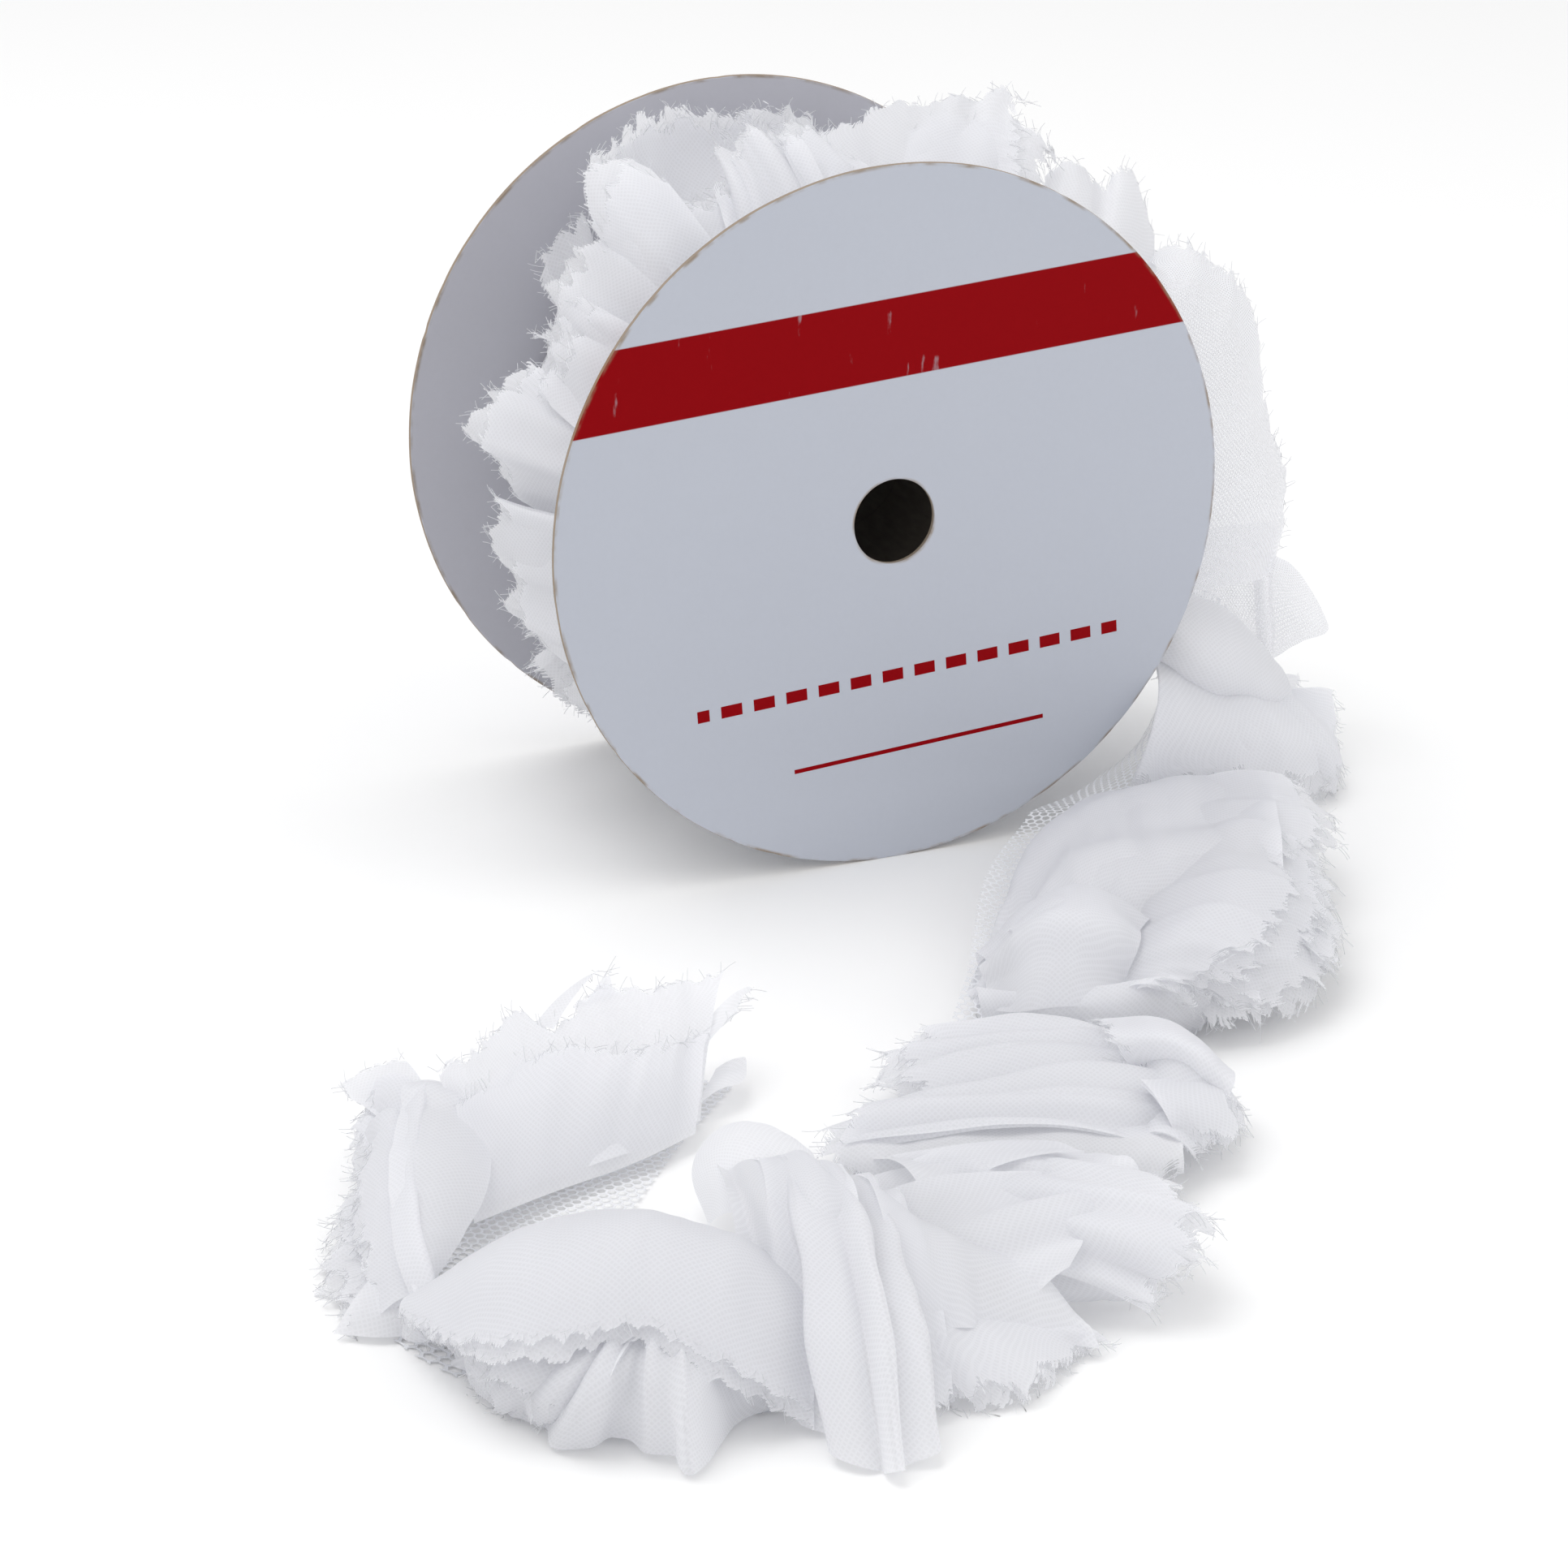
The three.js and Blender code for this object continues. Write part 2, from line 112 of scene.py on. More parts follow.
class ClothSettings(bpy.types.PropertyGroup):
    """Weave, fray and colour of the chiffon and the net."""

    pitch: measure("Thread spacing", "Distance between two threads of the chiffon", 0.00072)
    net_cell: measure("Net cell", "Width of one cell of the net tape", 0.0017)
    fray: measure("Fray", "Longest loose thread at a cut edge", 0.0030)
    thread_step: measure("Loose thread step", "Distance between two loose threads", 0.0010)
    thread_radius: measure("Loose thread radius", "Half a loose thread's thickness", 0.00006)
    cell: measure("Cell", "Size of one cell of the cloth's mesh", 0.0010)
    haze: amount("Haze", "How much the fine fibre fills the gaps of the weave", 0.94, max=1)
    sheer: amount("Sheer", "The same for the single layer beside the reel", 0.55, max=1)
    spare: measure("Spare", "Cloth past a petal's edge that frays away", 0.0016)
    tint: colour("Chiffon", "Colour of the chiffon", (0.90, 0.902, 0.925))
    # The net's colour is its own grey, darkened further by painted shade so that it shows against the pale
    # floor
    net_grey_and_shade: colour("Net", "Colour of the net tape", (0.79, 0.80, 0.83))


class StageSettings(bpy.types.PropertyGroup):
    """Light, floor and camera."""

    sky: amount("Sky", "Strength of the even light", 0.84)
    key: amount("Key", "Power of the soft box above", 5.0)
    fill: amount("Fill", "Power of the soft box at the left", 1.0)
    side: amount("Side", "Power of the soft box at the right", 2.5)
    lens: amount("Lens", "Focal length in millimetres", 99.7)
    floor: colour("Floor", "Colour of the floor", (0.93, 0.93, 0.93))


# Materials


def math_step(operation):
    """A method that puts a number, and what it is given, through one Math node."""

    def step(self, *others):
        values = (self, *others)
        return self.finish.node("ShaderNodeMath", {"operation": operation}, values).out("Value")

    return step


class Wire:
    """A number that runs through a material. Expressions on it add Math nodes."""

    def __init__(self, finish, socket):
        self.finish = finish
        self.socket = socket

    __add__ = __radd__ = math_step("ADD")
    __sub__ = math_step("SUBTRACT")
    __mul__ = __rmul__ = math_step("MULTIPLY")
    __truediv__ = math_step("DIVIDE")
    __mod__ = math_step("FLOORED_MODULO")
    __gt__ = math_step("GREATER_THAN")
    __lt__ = math_step("LESS_THAN")
    __abs__ = math_step("ABSOLUTE")
    floor = math_step("FLOOR")
    fraction = math_step("FRACT")
    highest = math_step("MAXIMUM")
    lowest = math_step("MINIMUM")
    root = math_step("SQRT")

    def __rsub__(self, other):
        values = (other, self)
        return self.finish.node("ShaderNodeMath", {"operation": "SUBTRACT"}, values).out("Value")

    def rise(self, low, high):
        """A soft step from 0 at low to 1 at high."""
        made = self.finish.node(
            "ShaderNodeMapRange", {"interpolation_type": "SMOOTHSTEP", "clamp": True},
            {"Value": self, "From Min": low, "From Max": high})
        return made.out("Result")


class Made:
    """A node that has been added, with its outputs by name."""

    def __init__(self, finish, node):
        self.finish = finish
        self.node = node

    def out(self, name):
        """One output, wrapped for expressions."""
        return Wire(self.finish, self.node.outputs[name])


class Finish:
    """A material that is built node by node."""

    def __init__(self, name):
        self.material = bpy.data.materials.new(name)
        self.material.use_nodes = True
        self.tree = self.material.node_tree
        self.tree.nodes.clear()

    def node(self, kind, settings=None, values=None):
        """Adds a node, with its settings first and then the values or links of its sockets."""
        made = self.tree.nodes.new(kind)
        for name, value in (settings or {}).items():
            setattr(made, name, value)
        pairs = values.items() if isinstance(values, dict) else enumerate(values or ())
        for key, value in pairs:
            if isinstance(value, Wire):
                self.tree.links.new(value.socket, made.inputs[key])
            else:
                made.inputs[key].default_value = value
        return Made(self, made)

    def blend(self, share, first, second):
        """A colour between two others."""
        made = self.tree.nodes.new("ShaderNodeMix")
        made.data_type = "RGBA"
        sockets = [s for s in made.inputs if s.enabled]
        for socket, value in zip(sockets, (share, first, second)):
            if isinstance(value, Wire):
                self.tree.links.new(value.socket, socket)
            elif socket.type == "RGBA":
                socket.default_value = (*value[:3], 1.0)
            else:
                socket.default_value = value
        return Wire(self, next(s for s in made.outputs if s.enabled))

    def place(self):
        """The object's own coordinates as three numbers, in metres."""
        where = self.node("ShaderNodeTexCoord").out("Object")
        parts = self.node("ShaderNodeSeparateXYZ", None, {"Vector": where})
        return where, parts.out("X"), parts.out("Y"), parts.out("Z")

    def grain(self, where, scale, detail, stretch=None):
        """Soft noise from 0 to 1 at a point. The stretch is a factor for each axis."""
        if stretch:
            where = self.node(
                "ShaderNodeMapping", None, {"Vector": where, "Scale": stretch}).out("Vector")
        made = self.node(
            "ShaderNodeTexNoise", {"noise_dimensions": "3D"},
            {"Vector": where, "Scale": scale, "Detail": detail})
        return made.out("Fac") if "Fac" in made.node.outputs else made.out("Factor")

    def raised(self, height, distance, strength):
        """A normal bent by a height."""
        return self.node(
            "ShaderNodeBump", None,
            {"Height": height, "Distance": distance, "Strength": strength}).out("Normal")

    def surface(self, shader):
        """Ends the material in a shader."""
        self.node("ShaderNodeOutputMaterial", None, {"Surface": shader})
        return self.material


# A row of dashes and a thin rule on the front disc, in metres from the middle of the hole
PRINT_SOFT = 0.00012
DASH_STEP, DASH_LONG, DASH_START = 0.0062, 0.0040, 0.5
DASHES = {"row": -0.0285, "half_high": 0.0011, "middle": 0.0015, "half_long": 0.0410}
THIN_RULE = {"row": -0.0427, "half_high": 0.0004, "middle": 0.0025, "half_long": 0.0245}

# How far the wear reaches in from the disc's rim and out from its hole, in metres
RIM_WORN, RIM_RAW = 0.00075, 0.0002
HOLE_RAW, HOLE_WORN = 0.0001, 0.0006


def bar(high, along, row, half_high, middle, half_long):
    """1 inside a bar of the print and 0 outside it."""
    return (abs(high - row) < half_high) * (abs(along - middle) < half_long)


def card_finish(reel, printed):
    """Smooth grey paper on board, raw at its cut edges, with a plain band if it is printed."""
    finish = Finish("Printed card" if printed else "Plain card")
    where, x, _y, z = finish.place()
    left = x - AXIS.x
    up = z - AXIS.z
    cos, sin = math.cos(reel.print_turn), math.sin(reel.print_turn)
    high = up * cos - left * sin
    along = left * cos + up * sin
    radius = (left * left + up * up).root()
    mottle = finish.grain(where, scale=900.0, detail=4.0)
    cloud = finish.grain(where, scale=28.0, detail=3.0)
    rub = finish.grain(where, scale=160.0, detail=5.0)
    face = reel.paper if printed else reel.back_paper
    paper = finish.blend(mottle * 0.16 + cloud * 0.12, face, [c * 0.80 for c in face])
    if printed:
        band = high.rise(reel.band_low - PRINT_SOFT, reel.band_low + PRINT_SOFT) * (
            1 - high.rise(reel.band_high - PRINT_SOFT, reel.band_high + PRINT_SOFT))
        dashes = bar(high, along, **DASHES) * ((along + DASH_START) % DASH_STEP < DASH_LONG)
        inked = band.highest(dashes).highest(bar(high, along, **THIN_RULE))
        scratch = finish.grain(where, scale=420.0, detail=6.0, stretch=(1.0, 1.0, 0.25))
        paper = finish.blend(inked * (1 - scratch.rise(0.66, 0.74) * 0.35), paper, reel.ink)
    facing = finish.node("ShaderNodeNewGeometry").out("Normal")
    normal_y = finish.node("ShaderNodeSeparateXYZ", None, {"Vector": facing}).out("Y")
    cut = 1 - abs(normal_y).rise(0.55, 0.85)
    rim = radius.rise(reel.across / 2 - RIM_WORN, reel.across / 2 - RIM_RAW)
    hole = 1 - radius.rise(reel.hole / 2 + HOLE_RAW, reel.hole / 2 + HOLE_WORN)
    worn = (rim.highest(hole) * rub.rise(0.42, 0.66)).highest(cut)
    edge = finish.blend(rub, reel.raw_board, [c * 0.62 for c in reel.raw_board])
    shader = finish.node("ShaderNodeBsdfPrincipled", None, {
        "Base Color": finish.blend(worn * 0.85, paper, edge),
        "Roughness": 0.44 + worn * 0.4 + mottle * 0.08,
        "Normal": finish.raised(mottle * 0.5 + rub * 0.8, distance=0.00004, strength=0.35),
    })
    shader.node.inputs["Specular IOR Level"].default_value = 0.05
    return finish.surface(shader.out("BSDF"))


def core_finish():
    """Raw grey board, wound in a slant."""
    finish = Finish("Core board")
    where, x, y, _z = finish.place()
    fibre = finish.grain(where, scale=700.0, detail=4.0, stretch=(1.0, 0.3, 1.0))
    turn, slant, gap = 0.03, 0.7, 0.0006
    seam = ((x * slant + y) % turn).rise(0.0, gap)
    dark, pale = (0.10, 0.085, 0.07), (0.20, 0.175, 0.15)
    shader = finish.node("ShaderNodeBsdfPrincipled", None, {
        "Base Color": finish.blend(fibre * (0.4 + seam * 0.6), dark, pale),
        "Roughness": 0.85,
        "Normal": finish.raised(fibre, distance=0.0001, strength=0.5),
    })
    return finish.surface(shader.out("BSDF"))


def chance(finish, number, seed):
    """A number from 0 to 1 for each whole number."""
    spot = finish.node("ShaderNodeCombineXYZ", None, {"X": number, "Y": seed}).out("Vector")
    return finish.node(
        "ShaderNodeTexWhiteNoise", {"noise_dimensions": "2D"}, {"Vector": spot}).out("Value")


# Depth of the fray, in shares of the longest loose thread: slow tongues, each thread's own cut and
# the band that has lost its cross threads
TONGUE_SHARE, THREAD_SHARE, BARE_SHARE = 0.45, 0.35, 0.22

# Where a thread of the chiffon begins to thin and where it is gone, in shares of the spacing
THREAD_FULL, THREAD_GONE = 0.16, 0.5

# Colour of the light that comes through the cloth
GLOW = (0.93, 0.934, 0.953, 1.0)


def chiffon_finish(cloth, name, haze):
    """Sheer open weave whose threads run out one by one at a cut edge."""
    finish = Finish(name)
    weave = finish.node("ShaderNodeUVMap", {"uv_map": "weave"}).out("UV")
    parts = finish.node("ShaderNodeSeparateXYZ", None, {"Vector": weave})
    border = finish.node("ShaderNodeUVMap", {"uv_map": "border"}).out("UV")
    edges = finish.node("ShaderNodeSeparateXYZ", None, {"Vector": border})
    across, along = (parts.out(axis) / (cloth.pitch / MM) for axis in ("X", "Y"))
    end, side = edges.out("X"), edges.out("Y")
    warp_line, weft_line = (
        1 - abs(line.fraction() - 0.5).rise(THREAD_FULL, THREAD_GONE) for line in (across, along))
    fray = cloth.fray / MM
    tongue = finish.grain(weave, scale=0.34, detail=0.0).rise(0.36, 0.66) * fray
    warp_cut, weft_cut = (
        tongue * TONGUE_SHARE + chance(finish, line.floor(), seed) * fray * THREAD_SHARE
        for line, seed in ((across, 3.1), (along, 7.7)))
    bare = fray * BARE_SHARE
    warp = warp_line * (end > warp_cut) * (side > bare + weft_cut)
    weft = weft_line * (side > weft_cut) * (end > bare + warp_cut)
    odd = (across.floor() + along.floor()) % 2.0
    height = (warp_line * (0.6 + odd * 0.4)).highest(weft_line * (1.0 - odd * 0.4))
    lit = finish.node("ShaderNodeBsdfPrincipled", None, {
        "Base Color": (*cloth.tint, 1.0),
        "Roughness": 0.6,
        "Normal": finish.raised(height, distance=0.00005, strength=0.06),
    })
    glow = finish.node("ShaderNodeBsdfTranslucent", None, {"Color": GLOW})
    thread = finish.node("ShaderNodeMixShader", None, [0.5, lit.out("BSDF"), glow.out("BSDF")])
    clear = finish.node("ShaderNodeBsdfTransparent")
    whole = (end > bare + warp_cut) * (side > bare + weft_cut)
    solid = warp.highest(weft).highest(whole * haze)
    return finish.surface(finish.node(
        "ShaderNodeMixShader", None, [solid, clear.out("BSDF"), thread.out("Shader")]).out("Shader"))


def thread_finish(tint):
    """A loose polyester thread."""
    finish = Finish("Loose thread")
    lit = finish.node(
        "ShaderNodeBsdfPrincipled", None, {"Base Color": (*tint, 1.0), "Roughness": 0.5})
    glow = finish.node("ShaderNodeBsdfTranslucent", None, {"Color": (0.95, 0.96, 0.98, 1.0)})
    return finish.surface(finish.node(
        "ShaderNodeMixShader", None, [0.4, lit.out("BSDF"), glow.out("BSDF")]).out("Shader"))


# Where a cell of the net ends and its thread begins, in shares of the cell from its centre
NET_OPEN, NET_THREAD = 0.35, 0.41


def net_finish(cloth):
    """Fine net of six-sided cells."""
    finish = Finish("Net")
    weave = finish.node("ShaderNodeUVMap", {"uv_map": "weave"}).out("UV")
    parts = finish.node("ShaderNodeSeparateXYZ", None, {"Vector": weave})
    across, along = (parts.out(axis) / (cloth.net_cell / MM) for axis in ("X", "Y"))
    root3 = math.sqrt(3)

    def from_centre(shift):
        """Distance from the nearest cell centre of one of the two rows of centres."""
        a = abs((across + shift / 2) % 1.0 - 0.5)
        b = abs((along + shift * root3 / 2) % root3 - root3 / 2)
        return a.highest(a * 0.5 + b * (root3 / 2))

    nearest = from_centre(0).lowest(from_centre(1))
    thread = finish.node("ShaderNodeBsdfPrincipled", None, {
        # The net's base colour holds its own grey and painted shade
        "Base Color": (*cloth.net_grey_and_shade, 1.0),
        "Roughness": 0.55,
        "Normal": finish.raised(nearest, distance=0.0002, strength=0.5),
    })
    clear = finish.node("ShaderNodeBsdfTransparent")
    solid = nearest.rise(NET_OPEN, NET_THREAD)
    return finish.surface(finish.node(
        "ShaderNodeMixShader", None, [solid, clear.out("BSDF"), thread.out("BSDF")]).out("Shader"))


def floor_finish(stage):
    """Plain pale paper."""
    finish = Finish("Floor paper")
    where = finish.node("ShaderNodeTexCoord").out("Object")
    cloud = finish.grain(where, scale=3.0, detail=2.0)
    colour = finish.blend(cloud * 0.1, stage.floor, [c * 0.98 for c in stage.floor])
    shader = finish.node("ShaderNodeBsdfPrincipled", None, {"Base Color": colour, "Roughness": 0.9})
    return finish.surface(shader.out("BSDF"))


# Meshes


def link(name, mesh):
    """An object at the origin for a mesh."""
    piece = bpy.data.objects.new(name, mesh)
    bpy.context.scene.collection.objects.link(piece)
    return piece


def mesh_of(name, points, faces, material, smooth=True):
    """A mesh whose points are given in metres."""
    mesh = bpy.data.meshes.new(name)
    mesh.from_pydata([tuple(p) for p in points], [], [tuple(f) for f in faces])
    mesh.materials.append(material)
    if smooth:
        mesh.shade_smooth()
    mesh.update()
    return mesh


def turned(point, turn):
    """A point turned about the upright line through the middle of the table."""
    angle = math.radians(turn)
    cos, sin = math.cos(angle), math.sin(angle)
    x, y, z = point
    return (x * cos - y * sin, x * sin + y * cos, z)


def polar(place):
    """A point from its angle about the reel's axis, its distance from it and its place along it."""
    degrees, radius, along = place
    angle = math.radians(degrees)
    return (radius * math.cos(angle), along, AXIS_HEIGHT + radius * math.sin(angle))


def uneven(points, seed):
    """Smooth noise from -1 to 1 at each row of an array of points."""
    flat = points.reshape(-1, points.shape[-1])
    shift = seed * 17.31
    made = [noise.noise(Vector((p[0] + shift, p[1] - shift, shift * 0.37))) for p in flat]
    return np.array(made).reshape(points.shape[:-1])


def waves(beside, outward, spacings, seeds):
    """Uneven waves over a grid, one set for each pair of spacings across it and along it."""
    return [uneven(np.stack((beside / across, outward / along), -1), seed)
            for (across, along), seed in zip(spacings, seeds)]


def unit(vectors):
    """Vectors brought to length 1."""
    return vectors / np.maximum(np.linalg.norm(vectors, axis=-1, keepdims=True), 1e-9)


def through(stops, t):
    """A value that runs through three stops, at the root, the middle and the free edge."""
    start, middle, end = stops
    return start * (1 - t) ** 2 + 2 * middle * t * (1 - t) + end * t ** 2


# What a fold has where its row says nothing. Every fold has the same rounding of its corners, inset
# of its upper layer, raggedness of its end and share of its sides that is held at the root.
FOLD = {"layers": 2, "pleat": 1.1}
FOLD_ROUND = 0.12
FOLD_INSET = 0.22
FOLD_RAG = 0.05
FOLD_HELD = 0.35


def fold_face(fold, along, across):
    """Points of one fold: a straight spine from the sewn root to the free edge, with a part of a
    circle across it that leans about the spine."""
    start, end = (np.array(polar(fold[key])) for key in ("root", "edge"))
    travel = unit(end - start)
    reel_axis = np.array((0.0, 1.0, 0.0))
    side = unit(reel_axis - travel * (travel @ reel_axis))
    face = np.cross(side, travel)
    t = along * (1 - FOLD_ROUND * np.abs(across) ** 3)
    lean_start, lean_end = fold["lean"]
    lean = np.radians(lean_start + (lean_end - lean_start) * t)[..., None]
    lean_side = side * np.cos(lean) + face * np.sin(lean)
    lean_face = face * np.cos(lean) - side * np.sin(lean)
    arc = math.radians(fold["cup"])
    bend = (through(fold["wide"], t) / arc)[..., None]
    angle = (across * arc / 2)[..., None]
    spine = start + (end - start) * t[..., None]
    return spine + lean_side * bend * np.sin(angle) + lean_face * bend * (np.cos(angle) - 1)


def smooth_shares(count, shares):
    """How much each stop of a smooth line counts at each share of the way along it."""
    weights = np.zeros((len(shares), count))
    for row, share in zip(weights, shares):
        place = min(share * (count - 1), count - 1.000001)
        first = int(place)
        f = place - first
        parts = (f * f - (f + f ** 3) / 2, 1 - 2.5 * f * f + 1.5 * f ** 3,
                 f / 2 + 2 * f * f - 1.5 * f ** 3, (f ** 3 - f * f) / 2)
        for stop, part in zip(range(first - 1, first + 3), parts):
            if stop < 0:
                row[0] += 2 * part
                row[1] -= part
            elif stop >= count:
                row[-1] += 2 * part
                row[-2] -= part
            else:
                row[stop] += part
    return weights


def ways_of(grid):
    """The way out of each point of a grid along it, across it and off its face."""
    lengthwise = np.gradient(grid, axis=0)
    crosswise = np.gradient(grid, axis=1)
    return unit(lengthwise), unit(crosswise), unit(np.cross(crosswise, lengthwise))


def lengths_of(grid):
    """How far each point is along and across the grid, measured on the cloth."""
    along = np.linalg.norm(np.diff(grid, axis=0, prepend=grid[:1]), axis=-1)
    across = np.linalg.norm(np.diff(grid, axis=1, prepend=grid[:, :1]), axis=-1)
    return np.cumsum(along, axis=0), np.cumsum(across, axis=1)


# What a petal has where its row says nothing: its frayed borders, its layers and how far each is
# set in, the height of its pleats, its ribs and arcs, how round its corners are, how far its weave
# is turned and how ragged its cut border is
PETAL = {
    "fray": ("end",), "layers": 1, "inset": 0.1, "pleat": 1.1, "ribs": 0, "depth": 0,
    "arcs": 0, "sag": 0, "round": 0.12, "bias": 38, "rag": 1,
}

# The way towards the camera, which tells a petal's outer face
SEEN_FROM = np.array((-0.37, -0.85, 0.37))

# Spacing across the cloth and along it of its pleats, its fine crinkles and its soft swells
PETAL_WAVES = ((9, 55), (4, 24), (20, 16))
FOLD_WAVES = ((9, 60), (4.2, 26), (22, 18))

# A distance from a cut border that no fray reaches, and where the loose threads start inside it
UNCUT = 40.0
THREAD_ROOT = 1.7

# How high the cloth lies above the table
LYING = 0.35


class Cloth:
    """Gathers the layers of one piece of cloth, with their weave and their cut borders."""

    def __init__(self):
        self.points, self.faces = [], []
        self.weave, self.border = [], []
        self.lines, self.line_edges, self.outwards = [], [], []

    def add_grid(self, grid, weave, border):
        """One layer: a grid of points with its weave and border distances."""
        rows, columns = grid.shape[:2]
        first = len(self.points)
        self.points.extend(grid.reshape(-1, 3))
        self.weave.extend(weave.reshape(-1, 2))
        self.border.extend(border.reshape(-1, 2))
        for i in range(rows - 1):
            for j in range(columns - 1):
                a = first + i * columns + j
                self.faces.append((a, a + 1, a + columns + 1, a + columns))

    def add_line(self, points, outwards):
        """A cut border, with the way out of the cloth at each of its points."""
        first = len(self.lines)
        self.lines.extend(points)
        self.outwards.extend(outwards)
        self.line_edges.extend((first + i, first + i + 1) for i in range(len(points) - 1))

    def add_sheet(self, grid, fray, bias, seed, free_from=0.0, rag=1):
        """One layer with its weave, turned by the bias, and its cut borders. Its sides are cut from
        the share of its length where they come free."""
        along, across = lengths_of(grid)
        beside = across - across[:, [grid.shape[1] // 2]]
        waver = 0.5 * uneven(np.stack((beside / 7, along / 7), -1), seed + 4.9)
        cos, sin = math.cos(math.radians(bias)), math.sin(math.radians(bias))
        weave = np.stack((beside * cos + along * sin + waver + seed * 3.3,
                          along * cos - beside * sin - waver + seed * 5.9), -1)
        uncut = np.full(along.shape, UNCUT)
        to_end = along[-1:] - along if "end" in fray else uncut
        to_side = np.minimum(across if "left" in fray else uncut,
                             across[:, -1:] - across if "right" in fray else uncut)
        shares = np.linspace(0, 1, len(grid))[:, None]
        to_side = to_side + np.clip(free_from - shares, 0, 1) * UNCUT / 2
        self.add_grid(grid, weave, np.stack((to_end, to_side), -1) / rag)
        lengthwise, crosswise, _face = ways_of(grid)
        if "end" in fray:
            self.add_line(grid[-1] - lengthwise[-1] * THREAD_ROOT, lengthwise[-1])
        free = int(len(grid) * free_from)
        for name, column, sign in (("left", 0, -1), ("right", -1, 1)):
            if name in fray:
                out = unit(crosswise[free:, column] * sign + lengthwise[free:, column] * 0.4)
                self.add_line(grid[free:, column] - out * THREAD_ROOT, out)

    def add_petal(self, petal, turn, cell, seed, spare=0.0):
        """A petal from its gathered seam, bellied out, to its free edge. The spare is cloth past
        the edge that frays away."""
        petal = {**PETAL, **petal}
        seam, edge = (np.array([turned(p, turn) for p in petal[k]]) for k in ("seam", "edge"))
        belly = np.array(turned(petal["belly"], turn))
        sides = np.linspace(0, 1, 9)
        chord = smooth_shares(len(edge), sides) @ edge - smooth_shares(len(seam), sides) @ seam
        spans = np.linalg.norm(chord, axis=-1)
        length = spans.mean() + np.linalg.norm(belly)
        wide = max(np.linalg.norm(np.diff(line, axis=0), axis=-1).sum() for line in (seam, edge))
        rows, columns = (max(8, int(size / cell)) for size in (length, wide))
        t, s = np.meshgrid(np.linspace(0, 1, rows), np.linspace(0, 1, columns), indexing="ij")
        low = smooth_shares(len(seam), s[0]) @ seam
        high = smooth_shares(len(edge), s[0]) @ edge
        swell = np.linalg.norm(high - low, axis=-1, keepdims=True) / spans.max()
        corner = 1 - petal["round"] * np.abs(2 * s - 1) ** 3
        longer = 1 + spare / length if "end" in petal["fray"] else 1
        rising = 0.35 + 0.65 * t
        for layer in range(petal["layers"]):
            under = petal["layers"] - 1 - layer
            reach = (t * corner * longer * (1 - under * petal["inset"]))[..., None]
            grid = low * (1 - reach) + high * reach + belly * swell * 4 * reach * (1 - reach)
            ways = ways_of(grid)
            face = ways[2] if (ways[2] @ SEEN_FROM).mean() >= 0 else -ways[2]
            pleats, fine, soft = waves(
                s * wide, t * length, PETAL_WAVES,
                (seed + 5.3 + layer, seed + 9.1 + layer * 3, seed + 13.9))
            ribs = np.cos(2 * math.pi * (petal["ribs"] * s + 0.45 * pleats))
            arcs = np.sin(2 * math.pi * (petal["arcs"] * t + 0.2 * soft))
            lift = petal["pleat"] * (1.3 * pleats * rising + 0.4 * fine * rising + 0.9 * soft)
            lift = lift + petal["depth"] * ribs * rising + petal["sag"] * arcs - layer * 0.8
            grid = grid + face * lift[..., None]
            grid = grid + self.ragged(petal, (t, s), (length, wide), ways, (seed, layer))
            grid[..., 2] = np.maximum(grid[..., 2], LYING + 0.2 * np.abs(fine))
            self.add_sheet(grid, petal["fray"], petal["bias"], seed + layer, rag=petal["rag"])

    @staticmethod
    def ragged(petal, shares, size, ways, seeds):
        """How far the frayed borders of a petal stand out or back, in slow tongues and tufts."""
        (t, s), (length, wide), (seed, layer) = shares, size, seeds
        lengthwise, crosswise, _face = ways
        moved = 0.0
        for name, place, spread, way in (
                ("end", s * wide, t ** 6, lengthwise),
                ("left", t * length, (1 - s) ** 6, -crosswise),
                ("right", t * length, s ** 6, crosswise)):
            if name in petal["fray"]:
                tongue, nick = waves(
                    place, 0 * t, ((8, 1), (4.5, 1)), (seed + layer * 0.31, seed + 2.7 + layer))
                tuft = np.clip(1 - 4 * np.abs(nick), 0, 1)
                out = (2.0 * tongue + 2.8 * tuft - 0.6) * spread * petal["rag"]
                moved = moved + way * out[..., None]
        return moved

    def add_fold(self, fold, cell, seed):
        """A fold in one or two layers, with its waves and its ragged edge."""
        fold = {**FOLD, **fold}
        wide = max(fold["wide"])
        length = float(np.linalg.norm(np.subtract(polar(fold["edge"]), polar(fold["root"]))))
        rows, columns = (max(10, int(size / cell)) for size in (length, wide))
        t, s = np.meshgrid(np.linspace(0, 1, rows), np.linspace(-1, 1, columns), indexing="ij")
        rising = 0.3 + 0.7 * t
        for layer in range(fold["layers"]):
            reach = 1 + 2.0 / length - layer * FOLD_INSET
            tongue, nick = waves(
                s * wide, 0 * t, ((11, 1), (3.5, 1)), (seed + layer * 0.31, seed + 2.7 + layer))
            along = t * reach * (1 + FOLD_RAG * (tongue + 0.6 * nick) * t)
            grid = fold_face(fold, along, s * (1 - 0.06 * layer))
            pleats, fine, soft = waves(
                s * wide, t * length, FOLD_WAVES,
                (seed + 5.3 + layer, seed + 9.1 + layer * 3, seed + 13.9 + layer))
            lift = fold["pleat"] * (1.5 * pleats * rising + 0.45 * fine * rising + 1.0 * soft)
            lift = lift + layer * (0.5 + 0.9 * t)
            grid = grid + ways_of(grid)[2] * lift[..., None]
            lying = LYING + 0.25 * layer + 0.15 * np.abs(fine)
            grid[..., 2] = np.maximum(grid[..., 2], lying)
            self.add_sheet(
                grid, ("end", "left", "right"), PETAL["bias"], seed + layer, free_from=FOLD_HELD)

